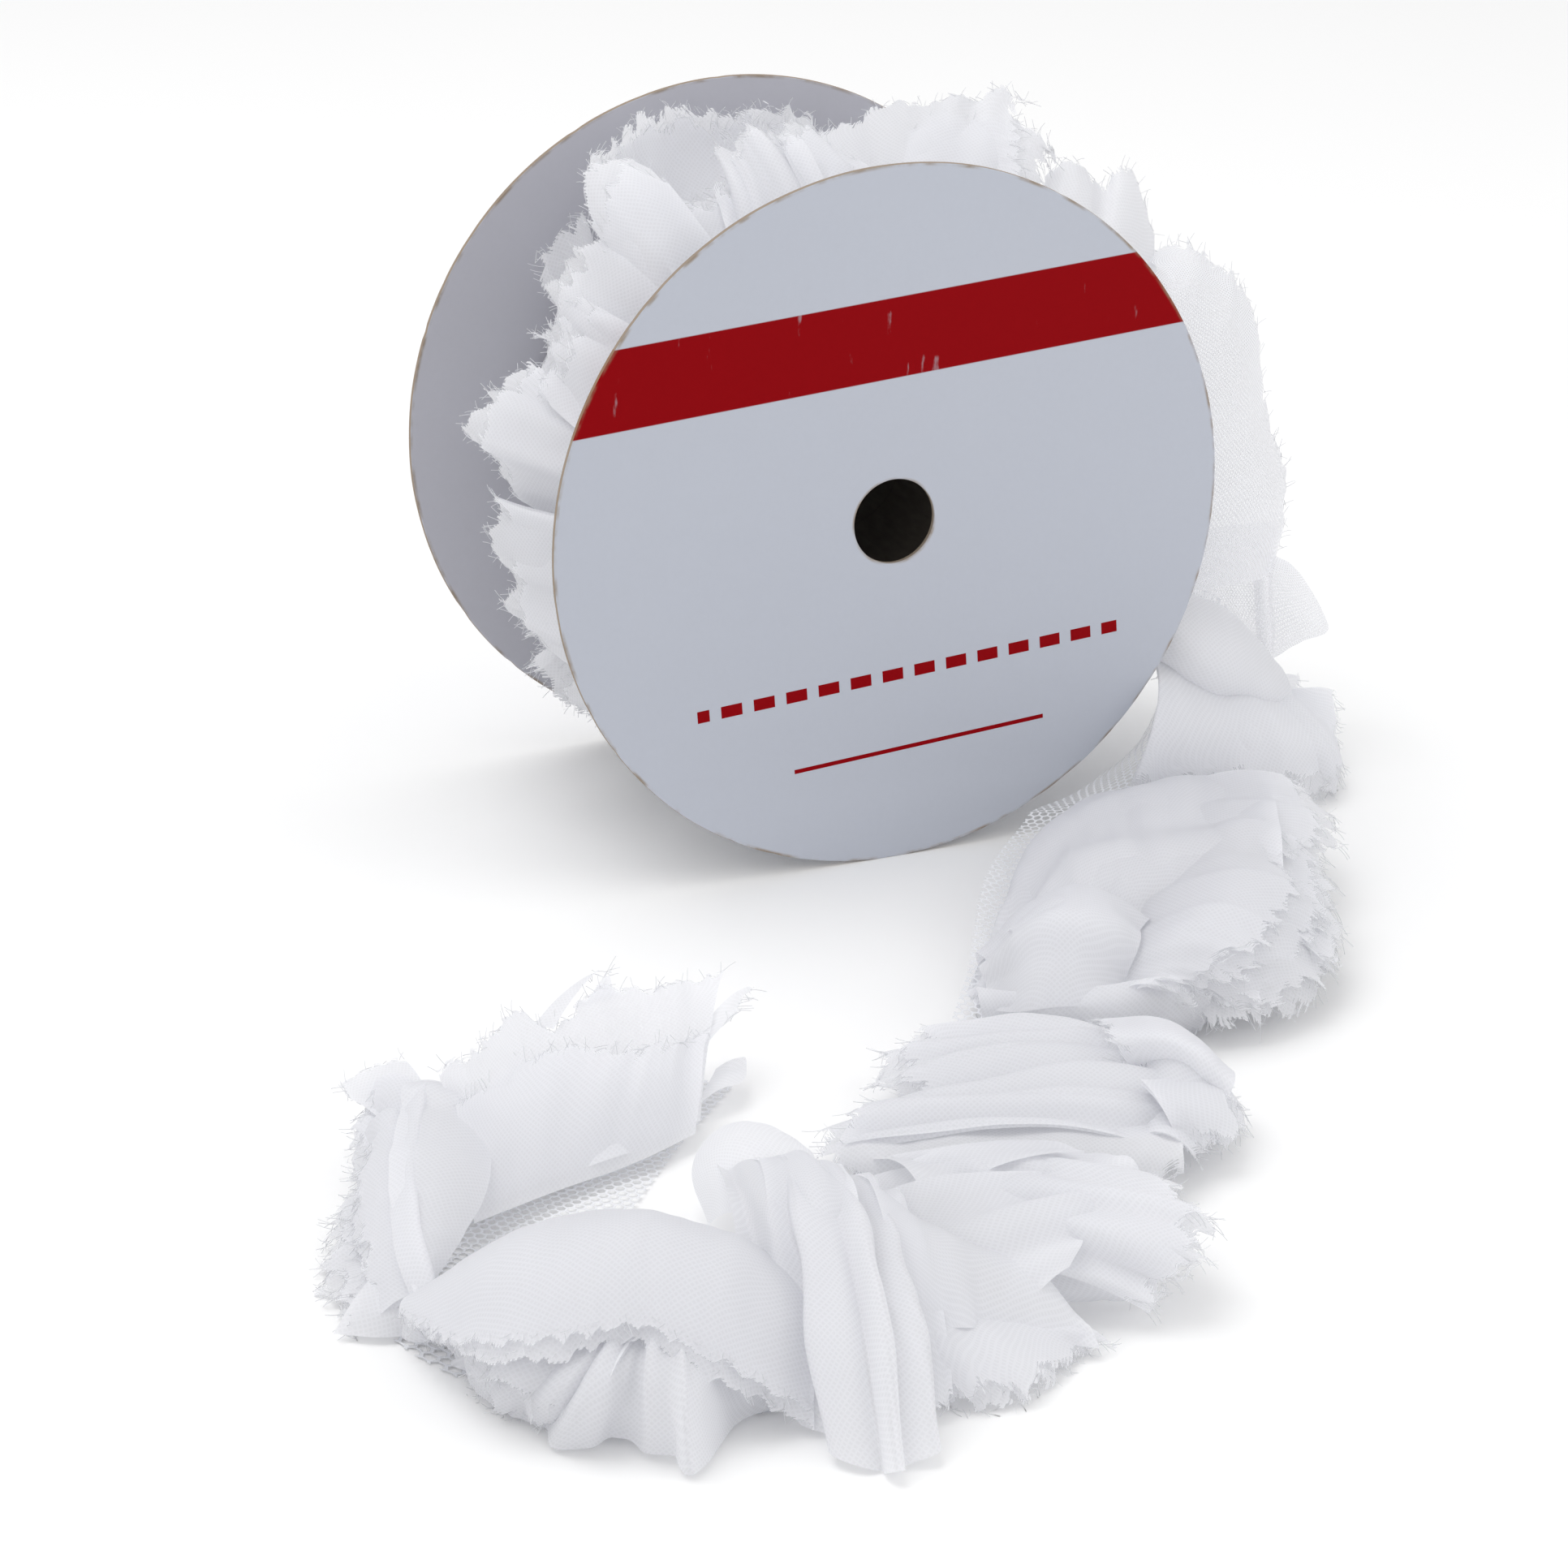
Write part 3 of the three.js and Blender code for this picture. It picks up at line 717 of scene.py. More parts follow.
    def build(self, name, material):
        """The mesh object, with its weave and border maps."""
        metres = np.array(self.points) * MM + ORIGIN
        mesh = mesh_of(name, metres, self.faces, material)
        corners = np.empty(len(mesh.loops), np.int32)
        mesh.loops.foreach_get("vertex_index", corners)
        for layer, values in (("weave", self.weave), ("border", self.border)):
            uv = mesh.uv_layers.new(name=layer)
            uv.data.foreach_set("uv", np.array(values, np.float32)[corners].ravel())
        return link(name, mesh)

    def frays(self, name, settings, material, seed):
        """Loose threads along the cut borders, as one plain mesh."""
        metres = np.array(self.lines) * MM + ORIGIN
        mesh = bpy.data.meshes.new(name)
        mesh.from_pydata([tuple(p) for p in metres], self.line_edges, [])
        out = mesh.attributes.new("outward", "FLOAT_VECTOR", "POINT")
        out.data.foreach_set("vector", np.array(self.outwards, np.float32).ravel())
        return thread_piece(link(name + "_line", mesh), name, settings, material, seed)


# A loose thread that is one metre long: where it bends and where it ends, before it is scaled
THREAD_MIDDLE, THREAD_END = (0.0003, 0.0, 0.5), (0.0013, 0.0, 1.0)

# The shortest loose thread, in metres, the power that makes short threads more usual than long
# ones, how far a thread strays from its way, the share of the fray that the longest one reaches,
# the lowest place of any thread above the table, and a full turn in radians
THREAD_SHORTEST = 0.0008
THREAD_SHORTNESS = 1.7
THREAD_STRAY = 0.35
THREAD_REACH = 0.75
THREAD_LOWEST = 0.0001
FULL_TURN = 6.283


def thread_tree():
    """Geometry nodes that stand loose threads along a line of points."""
    tree = bpy.data.node_groups.new("Loose threads", "GeometryNodeTree")
    tree.interface.new_socket("Line", in_out="INPUT", socket_type="NodeSocketGeometry")
    for label, kind in (
            ("Step", "Float"), ("Longest", "Float"), ("Radius", "Float"), ("Spread", "Float"),
            ("Seed", "Int"), ("Material", "Material")):
        tree.interface.new_socket(label, in_out="INPUT", socket_type="NodeSocket" + kind)
    tree.interface.new_socket("Threads", in_out="OUTPUT", socket_type="NodeSocketGeometry")

    def join(value, socket):
        """Links a socket to another one, or gives it a plain value."""
        if isinstance(value, bpy.types.NodeSocket):
            tree.links.new(value, socket)
        else:
            socket.default_value = value

    def node(kind, settings=None, *placed, **named):
        """Adds a node, with the values or links of its inputs by their order or by their names."""
        made = tree.nodes.new(kind)
        for key, value in (settings or {}).items():
            setattr(made, key, value)
        for index, value in enumerate(placed):
            join(value, made.inputs[index])
        for key, value in named.items():
            join(value, made.inputs[key.replace("_", " ")])
        return made

    def scattered(low, high, seed, kind="FLOAT"):
        """A random value for each thread."""
        made = node("FunctionNodeRandomValue", {"data_type": kind})
        live = {s.name: s for s in made.inputs if s.enabled}
        for key, value in (("Min", low), ("Max", high), ("Seed", seed)):
            join(value, live[key])
        return next(s for s in made.outputs if s.enabled)

    given = tree.nodes.new("NodeGroupInput").outputs
    curve = node("GeometryNodeMeshToCurve", Mesh=given["Line"]).outputs["Curve"]
    points = node("GeometryNodeResampleCurve", {"mode": "LENGTH"}, Curve=curve, Length=given["Step"])
    outward = node(
        "GeometryNodeInputNamedAttribute", {"data_type": "FLOAT_VECTOR"}, Name="outward")
    way = next(s for s in outward.outputs if s.enabled and s.name == "Attribute")
    stray = scattered((-1.0, -1.0, -1.0), (1.0, 1.0, 1.0), given["Seed"], "FLOAT_VECTOR")
    bent = node("ShaderNodeVectorMath", {"operation": "SCALE"}, Vector=stray, Scale=given["Spread"])
    aimed = node("ShaderNodeVectorMath", None, way, bent.outputs["Vector"])
    facing = node(
        "FunctionNodeAlignRotationToVector", {"axis": "Z"}, Vector=aimed.outputs["Vector"])
    spun = node("FunctionNodeAxisAngleToRotation", Axis=(0.0, 0.0, 1.0),
                Angle=scattered(0.0, FULL_TURN, given["Seed"]))
    rotation = node("FunctionNodeRotateRotation", {"rotation_space": "LOCAL"},
                    Rotation=facing.outputs["Rotation"], Rotate_By=spun.outputs["Rotation"])
    arc = node("GeometryNodeCurveQuadraticBezier", Resolution=3, Start=(0.0, 0.0, 0.0),
               Middle=THREAD_MIDDLE, End=THREAD_END)
    ring = node("GeometryNodeCurvePrimitiveCircle", {"mode": "RADIUS"}, Resolution=3,
                Radius=given["Radius"])
    strand = node("GeometryNodeCurveToMesh", Curve=arc.outputs["Curve"],
                  Profile_Curve=ring.outputs["Curve"], Fill_Caps=True)
    share = scattered(0.0, 1.0, given["Seed"])
    short = node("ShaderNodeMath", {"operation": "POWER"}, share, THREAD_SHORTNESS)
    length = node("ShaderNodeMath", {"operation": "MULTIPLY_ADD"},
                  short.outputs["Value"], given["Longest"], THREAD_SHORTEST)
    size = node("ShaderNodeCombineXYZ", X=1.0, Y=1.0, Z=length.outputs["Value"])
    stood = node("GeometryNodeInstanceOnPoints", Points=points.outputs["Curve"],
                 Instance=strand.outputs["Mesh"], Rotation=rotation.outputs["Rotation"],
                 Scale=size.outputs["Vector"])
    real = node("GeometryNodeRealizeInstances", Geometry=stood.outputs["Instances"])
    dressed = node("GeometryNodeSetMaterial", Geometry=real.outputs["Geometry"],
                   Material=given["Material"])
    node("NodeGroupOutput", Threads=dressed.outputs["Geometry"])
    return tree


def thread_piece(line, name, settings, material, seed):
    """Runs the loose threads on a line and keeps the result as a plain mesh."""
    tree = bpy.data.node_groups.get("Loose threads") or thread_tree()
    modifier = line.modifiers.new("Loose threads", "NODES")
    modifier.node_group = tree
    values = {
        "Step": settings.thread_step, "Longest": settings.fray * THREAD_REACH,
        "Radius": settings.thread_radius, "Spread": THREAD_STRAY, "Seed": seed,
        "Material": material,
    }
    for item in tree.interface.items_tree:
        if item.in_out == "INPUT" and item.name in values:
            modifier[item.identifier] = values[item.name]
    graph = bpy.context.evaluated_depsgraph_get()
    graph.update()
    mesh = bpy.data.meshes.new_from_object(line.evaluated_get(graph), depsgraph=graph)
    line.modifiers.clear()
    bpy.data.objects.remove(line)
    mesh.name = name
    places = np.empty(len(mesh.vertices) * 3, np.float32)
    mesh.vertices.foreach_get("co", places)
    places[2::3] = np.maximum(places[2::3], THREAD_LOWEST)
    mesh.vertices.foreach_set("co", places)
    mesh.update()
    return link(name, mesh)


# Wound trim

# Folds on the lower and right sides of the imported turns. A root or an edge is an angle about the
# reel's axis, a distance from it and a place along it.
WOUND_PETALS = [
    dict(root=(222, 40, 4), edge=(221, 61, 10), wide=(22, 26, 24), lean=(-70, -80), cup=60),
    dict(root=(255, 38, -8), edge=(252, 56, -14), wide=(26, 34, 34), lean=(-50, -80), cup=60),
    dict(root=(318, 38, -6), edge=(322, 57, -12), wide=(26, 34, 32), lean=(-60, -80), cup=60),
    dict(root=(240, 38, 16), edge=(236, 56, 20), wide=(24, 32, 30), lean=(-50, -80), cup=60),
    dict(root=(272, 38, 10), edge=(276, 57, 16), wide=(26, 34, 32), lean=(60, 80), cup=70),
    dict(root=(288, 38, -16), edge=(286, 57, -20), wide=(24, 32, 30), lean=(-60, -80), cup=60),
    dict(root=(304, 38, 16), edge=(300, 57, 22), wide=(24, 32, 30), lean=(50, 80), cup=70),
    dict(root=(336, 38, 18), edge=(340, 57, 24), wide=(24, 32, 30), lean=(60, 80), cup=60),
    dict(root=(350, 38, -18), edge=(354, 57, -24), wide=(22, 30, 28), lean=(-60, -80), cup=60),
    dict(root=(44, 40, -14), edge=(40, 60, -18), wide=(22, 30, 28), lean=(-60, -80), cup=60),
    dict(root=(46, 40, 20), edge=(50, 60, 26), wide=(22, 30, 28), lean=(60, 80), cup=60),
]


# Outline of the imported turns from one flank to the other: distance from the axis, place along it
WOUND_OUTLINE = [(17.5, -36.7), (41.4, -36.7), (45.5, -30), (47.3, -10), (47.3, 10), (45.5, 30),
                 (41.4, 36.7), (17.5, 36.7)]
WOUND_CELLS = (361, 46)

# The flanks are smooth up to this distance from the axis, and fully crushed this much further out
WOUND_SMOOTH, WOUND_FADE = 20, 18

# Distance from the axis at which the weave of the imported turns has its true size
WOUND_MEAN = 46

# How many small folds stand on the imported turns, their random seed and how coarse their mesh is
FRILLS, FRILL_SEED, FRILL_CELL = 46, 11, 1.4


def wound_grid():
    """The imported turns: a pleated ring round the core, from one flank to the other."""
    turns, sides = (np.linspace(0, end, count) for end, count in zip((2 * math.pi, 1), WOUND_CELLS))
    keys = np.linspace(0, 1, len(WOUND_OUTLINE))
    radius, beside = (np.interp(sides, keys, line) for line in zip(*WOUND_OUTLINE))
    a, r = np.meshgrid(turns, radius, indexing="ij")
    y = np.broadcast_to(beside, a.shape)
    swell = 3 * np.sin(8 * a + y / 14) + 1.2 * np.sin(19 * a - y / 6)
    ring = np.stack((np.cos(a) * 6 + y * 0.05, np.sin(a) * 6 + y * 0.02), -1)
    fine = np.stack((np.cos(a) * 16 + y * 0.16, np.sin(a) * 16 - y * 0.1), -1)
    crush = 2.4 * uneven(ring, 3.1) + 1.3 * uneven(fine, 8.4)
    r = r + (swell + crush - 1.0) * np.clip((r - WOUND_SMOOTH) / WOUND_FADE, 0, 1)
    grid = np.stack((np.cos(a) * r, y, AXIS_HEIGHT + np.sin(a) * r), -1)
    grid[-1] = grid[0]
    weave = np.stack((y, a * WOUND_MEAN), -1)
    return grid, weave, np.full(weave.shape, UNCUT)


def frill_rows():
    """Small crushed folds of the buried roses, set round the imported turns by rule."""
    pick = random.Random(FRILL_SEED)
    rows = []
    for index in range(FRILLS):
        angle = 360 * index / FRILLS + pick.uniform(-6, 6)
        beside = pick.uniform(-28, 30)
        slant = pick.uniform(-14, 14)
        high = pick.uniform(51, 56)
        rows.append(dict(
            root=(angle, 43, beside), edge=(angle + slant, high, beside + slant / 3),
            wide=(pick.uniform(10, 16), pick.uniform(16, 24), pick.uniform(12, 20)),
            lean=(pick.uniform(-80, 80), pick.uniform(-90, 90)), cup=pick.uniform(50, 130),
            layers=1, pleat=1.3))
    return rows


# Net tape of the loose end: its width, the points along it and across it, how high it lies above
# the table and how high its ripples are. Its places lie on its middle line, in the loose end's own
# directions, each with the way to its far side.
TAPE_WIDE = 40.0
TAPE_CELLS = (161, 15)
TAPE_LOWEST = 0.3
TAPE_RIPPLE = 0.5
TAPE = [
    ((22, 10, 106), (-8, 17, 0)),
    ((38, 17, 100), (-8, 17, 0)),
    ((50, 22, 88), (-8, 17, 0)),
    ((58, 26, 70), (-8, 17, 0)),
    ((61, 24, 46), (-7, 18, 1)),
    ((67, 15, 31), (0, 19, 4)),
    ((71, 3, 22), (9, 16, 6)),
    ((66, -11, 14), (15, 12, 5)),
    ((58, -31, 6), (18, 7, -4)),
    ((50, -62, 4), (19, 3, -6)),
    ((45, -104, 2), (19, -6, -4)),
    ((37, -137, 0.5), (18, -8, 0)),
    ((26, -168, 0.5), (18, -9, 0)),
    ((9, -199, 0.5), (15, -13, 0)),
    ((-12, -216, 0.5), (5, -19, 0)),
    ((-34, -212, 0.5), (-12, -15, 0)),
    ((-48, -195, 0.5), (-20, 1, 0)),
    ((-47, -174, 0.5), (-19, 6, 0)),
    ((-41, -152, 0.5), (-19, 6, 0)),
    ((-31, -124, 0.5), (-19, 7, 0)),
]


def smooth_line(stops, count):
    """Points on a smooth curve through the stops, evenly spaced by length, then its length, how
    far along it each stop is, and how far along it each point is."""
    p = np.array(stops, float)
    p = np.vstack((2 * p[0] - p[1], p, 2 * p[-1] - p[-2]))
    knots = np.concatenate(([0], np.cumsum(np.linalg.norm(np.diff(p, axis=0), axis=1) ** 0.5)))
    fine = []
    for i in range(1, len(p) - 2):
        t0, t1, t2, t3 = knots[i - 1:i + 3]
        for t in np.linspace(t1, t2, 24, endpoint=False):
            a1 = (t1 - t) / (t1 - t0) * p[i - 1] + (t - t0) / (t1 - t0) * p[i]
            a2 = (t2 - t) / (t2 - t1) * p[i] + (t - t1) / (t2 - t1) * p[i + 1]
            a3 = (t3 - t) / (t3 - t2) * p[i + 1] + (t - t2) / (t3 - t2) * p[i + 2]
            b1 = (t2 - t) / (t2 - t0) * a1 + (t - t0) / (t2 - t0) * a2
            b2 = (t3 - t) / (t3 - t1) * a2 + (t - t1) / (t3 - t1) * a3
            fine.append((t2 - t) / (t2 - t1) * b1 + (t - t1) / (t2 - t1) * b2)
    fine.append(p[-2])
    fine = np.array(fine)
    run = np.concatenate(([0], np.cumsum(np.linalg.norm(np.diff(fine, axis=0), axis=1))))
    wanted = np.linspace(0, run[-1], count)
    points = np.stack([np.interp(wanted, run, fine[:, k]) for k in range(3)], -1)
    return points, run[-1], run[::24], wanted


# Petals, given one by one. Each has its gathered seam, its free edge and how far it bellies out
# between them. Each rose starts with the turn of its petals' directions from the reel's.
ROSES = {
    "rose_1": (0, [
        dict(seam=((55, -26, 99), (61, -27, 77), (62, -27, 56), (60, -28, 39)), belly=(2, -4, 0),
             edge=((65, -5, 96), (74, -5, 98), (83, -5, 92), (88, -5, 84), (91, -5, 70), (95, -5, 56),
                   (99, -5, 47), (96, -6, 32)), round=0.02),
        dict(seam=((64, -18, 46), (64, -20, 32), (66, -22, 18)), belly=(0, 1, 0), fray=(), round=0,
             edge=((97, -2, 40), (97, -3, 25), (96, -5, 9))),
        dict(seam=((87, -11, 40), (88, -12, 26), (88, -14, 12)), belly=(0, -1, 0), fray=(), pleat=0.3,
             edge=((90, -11, 40), (91, -12, 26), (91, -14, 11)), round=0),
        dict(seam=((92, -8, 36), (93, -9, 17)), belly=(0, -2, 0), pleat=0.7, round=0, fray=(),
             edge=((93, -8, 36), (100, -8, 31), (107, -8, 19), (101, -8, 17), (94, -9, 15))),
    ]),
    "rose_2": (0, [
        dict(seam=((60, -25, 40), (74, -27, 32), (85, -24, 21), (91, -20, 14)), belly=(-1, -9, 1),
             edge=((57, -29, 26), (64, -33, 18), (72, -33, 15), (79, -31, 11), (86, -26, 6)), round=0),
        dict(seam=((57, -29, 27), (70, -33, 21), (84, -31, 16), (91, -21, 13)), belly=(-1, -9, 6),
             edge=((42, -45, 5), (58, -49, 5), (74, -50, 4), (87, -47, 2), (94, -36, 4), (100, -23, 11)),
             layers=2, inset=0.14, ribs=3, depth=0.7, round=0.02),
        dict(seam=((76, -25, 14), (86, -18, 15)), belly=(0, -2, 2), ribs=1, depth=0.7,
             edge=((86, -36, 3), (93, -28, 5), (96, -18, 14))),
    ]),
    "rose_3": (TAIL_TURN, [
        dict(seam=((27, -102, 3), (33, -76, 8), (45, -46, 12), (61, -28, 12), (83, -24, 9)), layers=3,
             belly=(0, -4, 12), round=0, arcs=2, sag=1.1,
             edge=((27, -110, 3), (36, -114, 3), (48, -112, 4), (62, -114, 4), (78, -108, 8))),
        dict(seam=((66, -38, 15), (68, -66, 18), (66, -94, 16)), belly=(0, 0, 3), layers=2, inset=0.14,
             edge=((90, -34, 13), (92, -46, 13), (90, -62, 13), (89, -78, 12), (88, -92, 11), (86, -105, 9)),
             round=0.04, ribs=3, depth=0.5, pleat=0.7),
        dict(seam=((60, -70, 13), (55, -92, 13), (50, -108, 12), (47, -119, 8)), belly=(0, -2, 10),
             edge=((89, -66, 12), (88, -84, 11), (87, -97, 10), (83, -108, 9), (71, -117, 9), (58, -121, 11)),
             layers=3, inset=0.13, ribs=3, depth=0.6, round=0.03),
        dict(seam=((28, -96, 6), (38, -88, 11), (48, -88, 13), (57, -94, 11)), belly=(0, -4, 12),
             edge=((28, -114, 6), (34, -122, 9), (41, -124, 11), (51, -119, 8)), fray=(), arcs=2,
             sag=1.0, round=0),
        dict(seam=((33, -101, 13), (40, -97, 17), (49, -100, 17)), belly=(0, -3, 7), pleat=0.6, arcs=1,
             edge=((34, -117, 11), (41, -120, 13), (49, -114, 13)), sag=0.7, fray=(), round=0),
        dict(seam=((27, -112, 9), (35, -121, 12), (45, -121, 13), (56, -117, 13), (66, -112, 12)),
             edge=((28, -113, 2), (35, -119, 2), (42, -120, 1), (52, -117, 1), (64, -112, 1)),
             belly=(0, -4, 2), fray=(), round=0),
        dict(seam=((58, -104, 13), (70, -102, 13), (80, -95, 11)), belly=(0, -2, 2), layers=2, inset=0.2,
             edge=((60, -117, 6), (70, -117, 5), (80, -109, 6), (87, -98, 8))),
    ]),
    "rose_4": (TAIL_TURN, [
        dict(seam=((6, -156, 6), (28, -160, 9), (56, -160, 9)), belly=(0, -5, 4),
             edge=((2, -170, 3), (24, -179, 4), (56, -172, 4))),
        dict(seam=((50, -128, 8), (53, -142, 12), (54, -156, 12), (52, -168, 8)), belly=(0, -2, 5),
             layers=2, ribs=5, depth=1.5, pleat=1.5, round=0.03,
             edge=((16, -122, 4), (11, -134, 5), (14, -146, 4), (4, -156, 5), (0, -167, 4))),
        dict(seam=((50, -130, 9), (52, -146, 13), (50, -166, 9)), belly=(0, -3, 5), layers=2, ribs=2,
             depth=1.2, edge=((61, -132, 6), (66, -144, 5), (64, -156, 4), (59, -166, 3))),
        dict(seam=((44, -136, 14), (56, -140, 16), (66, -142, 8)), belly=(0, -6, 4), fray=("end", "left"),
             edge=((47, -147, 12), (56, -151, 13), (64, -153, 8)), ribs=1, depth=0.8),
        dict(seam=((50, -158, 14), (60, -152, 11)), belly=(0, -3, 3), layers=2, inset=0.2,
             edge=((56, -166, 6), (64, -162, 5), (68, -153, 5))),
    ]),
    "rose_5": (TAIL_TURN, [
        dict(seam=((6, -176, 6), (12, -188, 7)), belly=(0, -2, 4), fray=(),
             edge=((32, -182, 8), (36, -196, 8))),
        dict(seam=((12, -172, 8), (18, -184, 11), (22, -196, 10), (26, -206, 7)), belly=(0, -3, 5),
             layers=2, ribs=4, depth=1.3, pleat=1.5, round=0.03,
             edge=((50, -176, 6), (53, -190, 11), (56, -202, 12), (53, -209, 8), (48, -210, 2))),
        dict(seam=((9, -171, 6), (24, -176, 11), (44, -176, 10)), belly=(0, -6, 5), fray=(), ribs=3,
             edge=((18, -190, 9), (32, -192, 12), (48, -184, 10)), depth=0.9, pleat=1.5),
        dict(seam=((8, -188, 9), (17, -206, 11), (28, -218, 7)), belly=(0, -2, 3), fray=(), pleat=1.4,
             edge=((36, -192, 14), (41, -199, 15), (37, -212, 11)), ribs=2, depth=0.9),
        dict(seam=((14, -182, 12), (22, -190, 13)), belly=(0, -3, 3), fray=(), pleat=0.8,
             edge=((34, -178, 14), (42, -184, 15))),
        dict(seam=((24, -206, 8), (48, -206, 6)), belly=(0, -2, 0), edge=((33, -206, 1), (48, -203, 1)),
             fray=()),
    ]),
    "rose_6": (TAIL_TURN, [
        dict(seam=((2, -186, 8), (-8, -182, 9), (-12, -190, 8)), belly=(0, 0, 3), pleat=0.5, fray=(),
             edge=((-1, -171, 9), (-7, -165, 10), (-14, -164, 9), (-18, -174, 7), (-16, -191, 6))),
        dict(seam=((-14, -178, 8), (-6, -182, 12), (4, -184, 12), (12, -190, 10)), belly=(0, -6, 14),
             ribs=5, depth=1.9, pleat=1.6, fray=(), round=0,
             edge=((-8, -233, 1), (-2, -237, 1), (3, -246, 1), (8, -252, 1), (12, -251, 1), (15, -243, 1),
                   (17, -234, 1))),
        dict(seam=((-9, -183, 13), (-3, -184, 15), (4, -187, 14)), belly=(1, -3, 12), fray=(), ribs=2,
             edge=((-5, -228, 5), (1, -237, 4), (7, -243, 3)), depth=1.2, round=0),
        dict(seam=((12, -216, 10), (22, -220, 8), (37, -217, 3)), belly=(0, -3, 4), layers=2, ribs=2,
             edge=((17, -234, 1), (23, -236, 1), (30, -232, 1), (38, -221, 1), (42, -217, 1)), round=0,
             depth=0.8),
        dict(seam=((6, -186, 12), (19, -206, 13), (31, -211, 10), (38, -217, 5)), belly=(0, -2, 7),
             edge=((12, -228, 11), (19, -227, 9), (24, -224, 7), (30, -221, 4), (40, -220, 2)),
             round=0, fray=()),
        dict(seam=((8, -200, 14), (17, -214, 12)), belly=(0, -3, 5), edge=((12, -236, 2), (19, -237, 2))),
    ]),
    "rose_7": (TAIL_TURN, [
        dict(seam=((-57, -212, 6), (-44, -222, 12), (-28, -226, 15), (-10, -228, 11)), belly=(0, -6, 2),
             edge=((-57, -214, 1), (-49, -222, 1), (-38, -238, 1), (-28, -243, 1), (-14, -244, 1),
                   (-5, -232, 2)), ribs=3, depth=1.3, pleat=1.6, fray=()),
        dict(seam=((-56, -216, 7), (-47, -226, 11), (-38, -230, 13)), belly=(-1, -3, 3), ribs=2, depth=1.2,
             edge=((-56, -216, 1), (-49, -223, 1), (-43, -236, 1), (-37, -241, 1)), pleat=1.5),
        dict(seam=((-34, -232, 13), (-27, -235, 15), (-21, -235, 15), (-14, -234, 13)), belly=(0, -6, 3),
             edge=((-50, -221, 1), (-44, -232, 1), (-38, -240, 1), (-31, -246, 1), (-25, -246, 1),
                   (-19, -251, 1), (-14, -249, 1), (-6, -233, 1)), ribs=5, depth=1.3, pleat=2.2,
             fray=(), round=0),
        dict(seam=((-40, -228, 12), (-30, -234, 15), (-22, -234, 15)), belly=(-1, -5, 2), layers=2,
             edge=((-47, -230, 3), (-43, -237, 3), (-37, -243, 3), (-30, -245, 4)), inset=0.25,
             ribs=3, depth=1.2, pleat=2.0, rag=0.6),
        dict(seam=((-57, -209, 4), (-32, -203, 12), (-14, -203, 10), (0, -206, 5)), belly=(0, -3, 11),
             edge=((-58, -217, 5), (-52, -230, 9), (-43, -241, 13), (-33, -243, 15), (-25, -241, 16),
                   (-16, -243, 13), (-8, -242, 8), (0, -241, 3)), layers=2, inset=0.05, round=0, pleat=0.9,
             rag=0.4),
    ]),
    "rose_8": (TAIL_TURN, [
        dict(seam=((-60, -206, 2), (-62, -186, 4), (-62, -158, 7)), belly=(0, 0, 2), layers=2, inset=0.14,
             edge=((-65, -213, 1), (-68, -205, 2), (-71, -190, 3), (-69, -174, 5), (-70, -162, 7),
                   (-67, -152, 10)), fray=("end", "left"), round=0),
        dict(seam=((-54, -213, 6), (-58, -200, 9), (-60, -180, 11), (-59, -160, 12)), belly=(0, 0, 3),
             edge=((-62, -213, 2), (-66, -200, 5), (-68, -184, 6), (-67, -168, 8), (-67, -154, 11)),
             layers=2, inset=0.12, ribs=2, depth=0.6, round=0),
        dict(seam=((-56, -212, 6), (-51, -200, 8), (-48, -184, 9), (-49, -168, 10), (-54, -158, 12)),
             belly=(0, -1, 3),
             edge=((-56, -215, 7), (-60, -204, 11), (-62, -186, 13), (-62, -168, 14), (-60, -158, 13)),
             fray=(), ribs=2, depth=0.9, round=0),
        dict(seam=((-57, -214, 7), (-60, -204, 10), (-62, -186, 12), (-62, -166, 13)), belly=(1, 0, 2),
             edge=((-53, -215, 8), (-56, -204, 12), (-58, -186, 14), (-58, -162, 15)), fray=(), pleat=0.4,
             round=0),
        dict(seam=((-53, -211, 6), (-63, -204, 5)), belly=(0, -1, 1), pleat=0.6, fray=(), round=0,
             edge=((-56, -214, 1), (-62, -215, 1), (-68, -214, 1))),
        dict(seam=((-64, -166, 10), (-58, -160, 12)), belly=(0, 0, 1),
             edge=((-72, -154, 9), (-69, -150, 11), (-62, -152, 14))),
    ]),
    "rose_9": (TAIL_TURN, [
        dict(seam=((-50, -184, 5), (-40, -172, 4), (-28, -163, 4), (-17, -151, 4)), belly=(0, 2, 3),
             edge=((-57, -160, 16), (-51, -151, 16), (-46, -140, 17), (-40, -143, 16), (-33, -132, 16),
                   (-23, -128, 16), (-14, -119, 15)), round=0),
        dict(seam=((-50, -186, 4), (-38, -173, 3), (-27, -164, 3), (-18, -154, 3)), belly=(0, 1, 3),
             edge=((-54, -166, 14), (-41, -150, 15), (-29, -150, 15), (-22, -145, 14), (-16, -135, 12)),
             round=0.03),
        dict(seam=((-43, -142, 16), (-40, -144, 16)), belly=(0, 0, 1), pleat=0.3, round=0,
             edge=((-36, -126, 17), (-34, -124, 17))),
        dict(seam=((-36, -136, 16), (-31, -132, 16)), belly=(0, 0, 0), pleat=0.3, round=0,
             edge=((-33, -126, 17), (-32, -125, 17))),
        dict(seam=((-19, -142, 8), (-16, -130, 12)), belly=(0, 0, 1), edge=((-13, -132, 12), (-10, -121, 13)),
             pleat=0.4),
        dict(seam=((-18, -145, 3), (-15, -133, 4)), belly=(0, 0, 1), edge=((-11, -138, 3), (-10, -129, 4)),
             fray=()),
    ]),
}

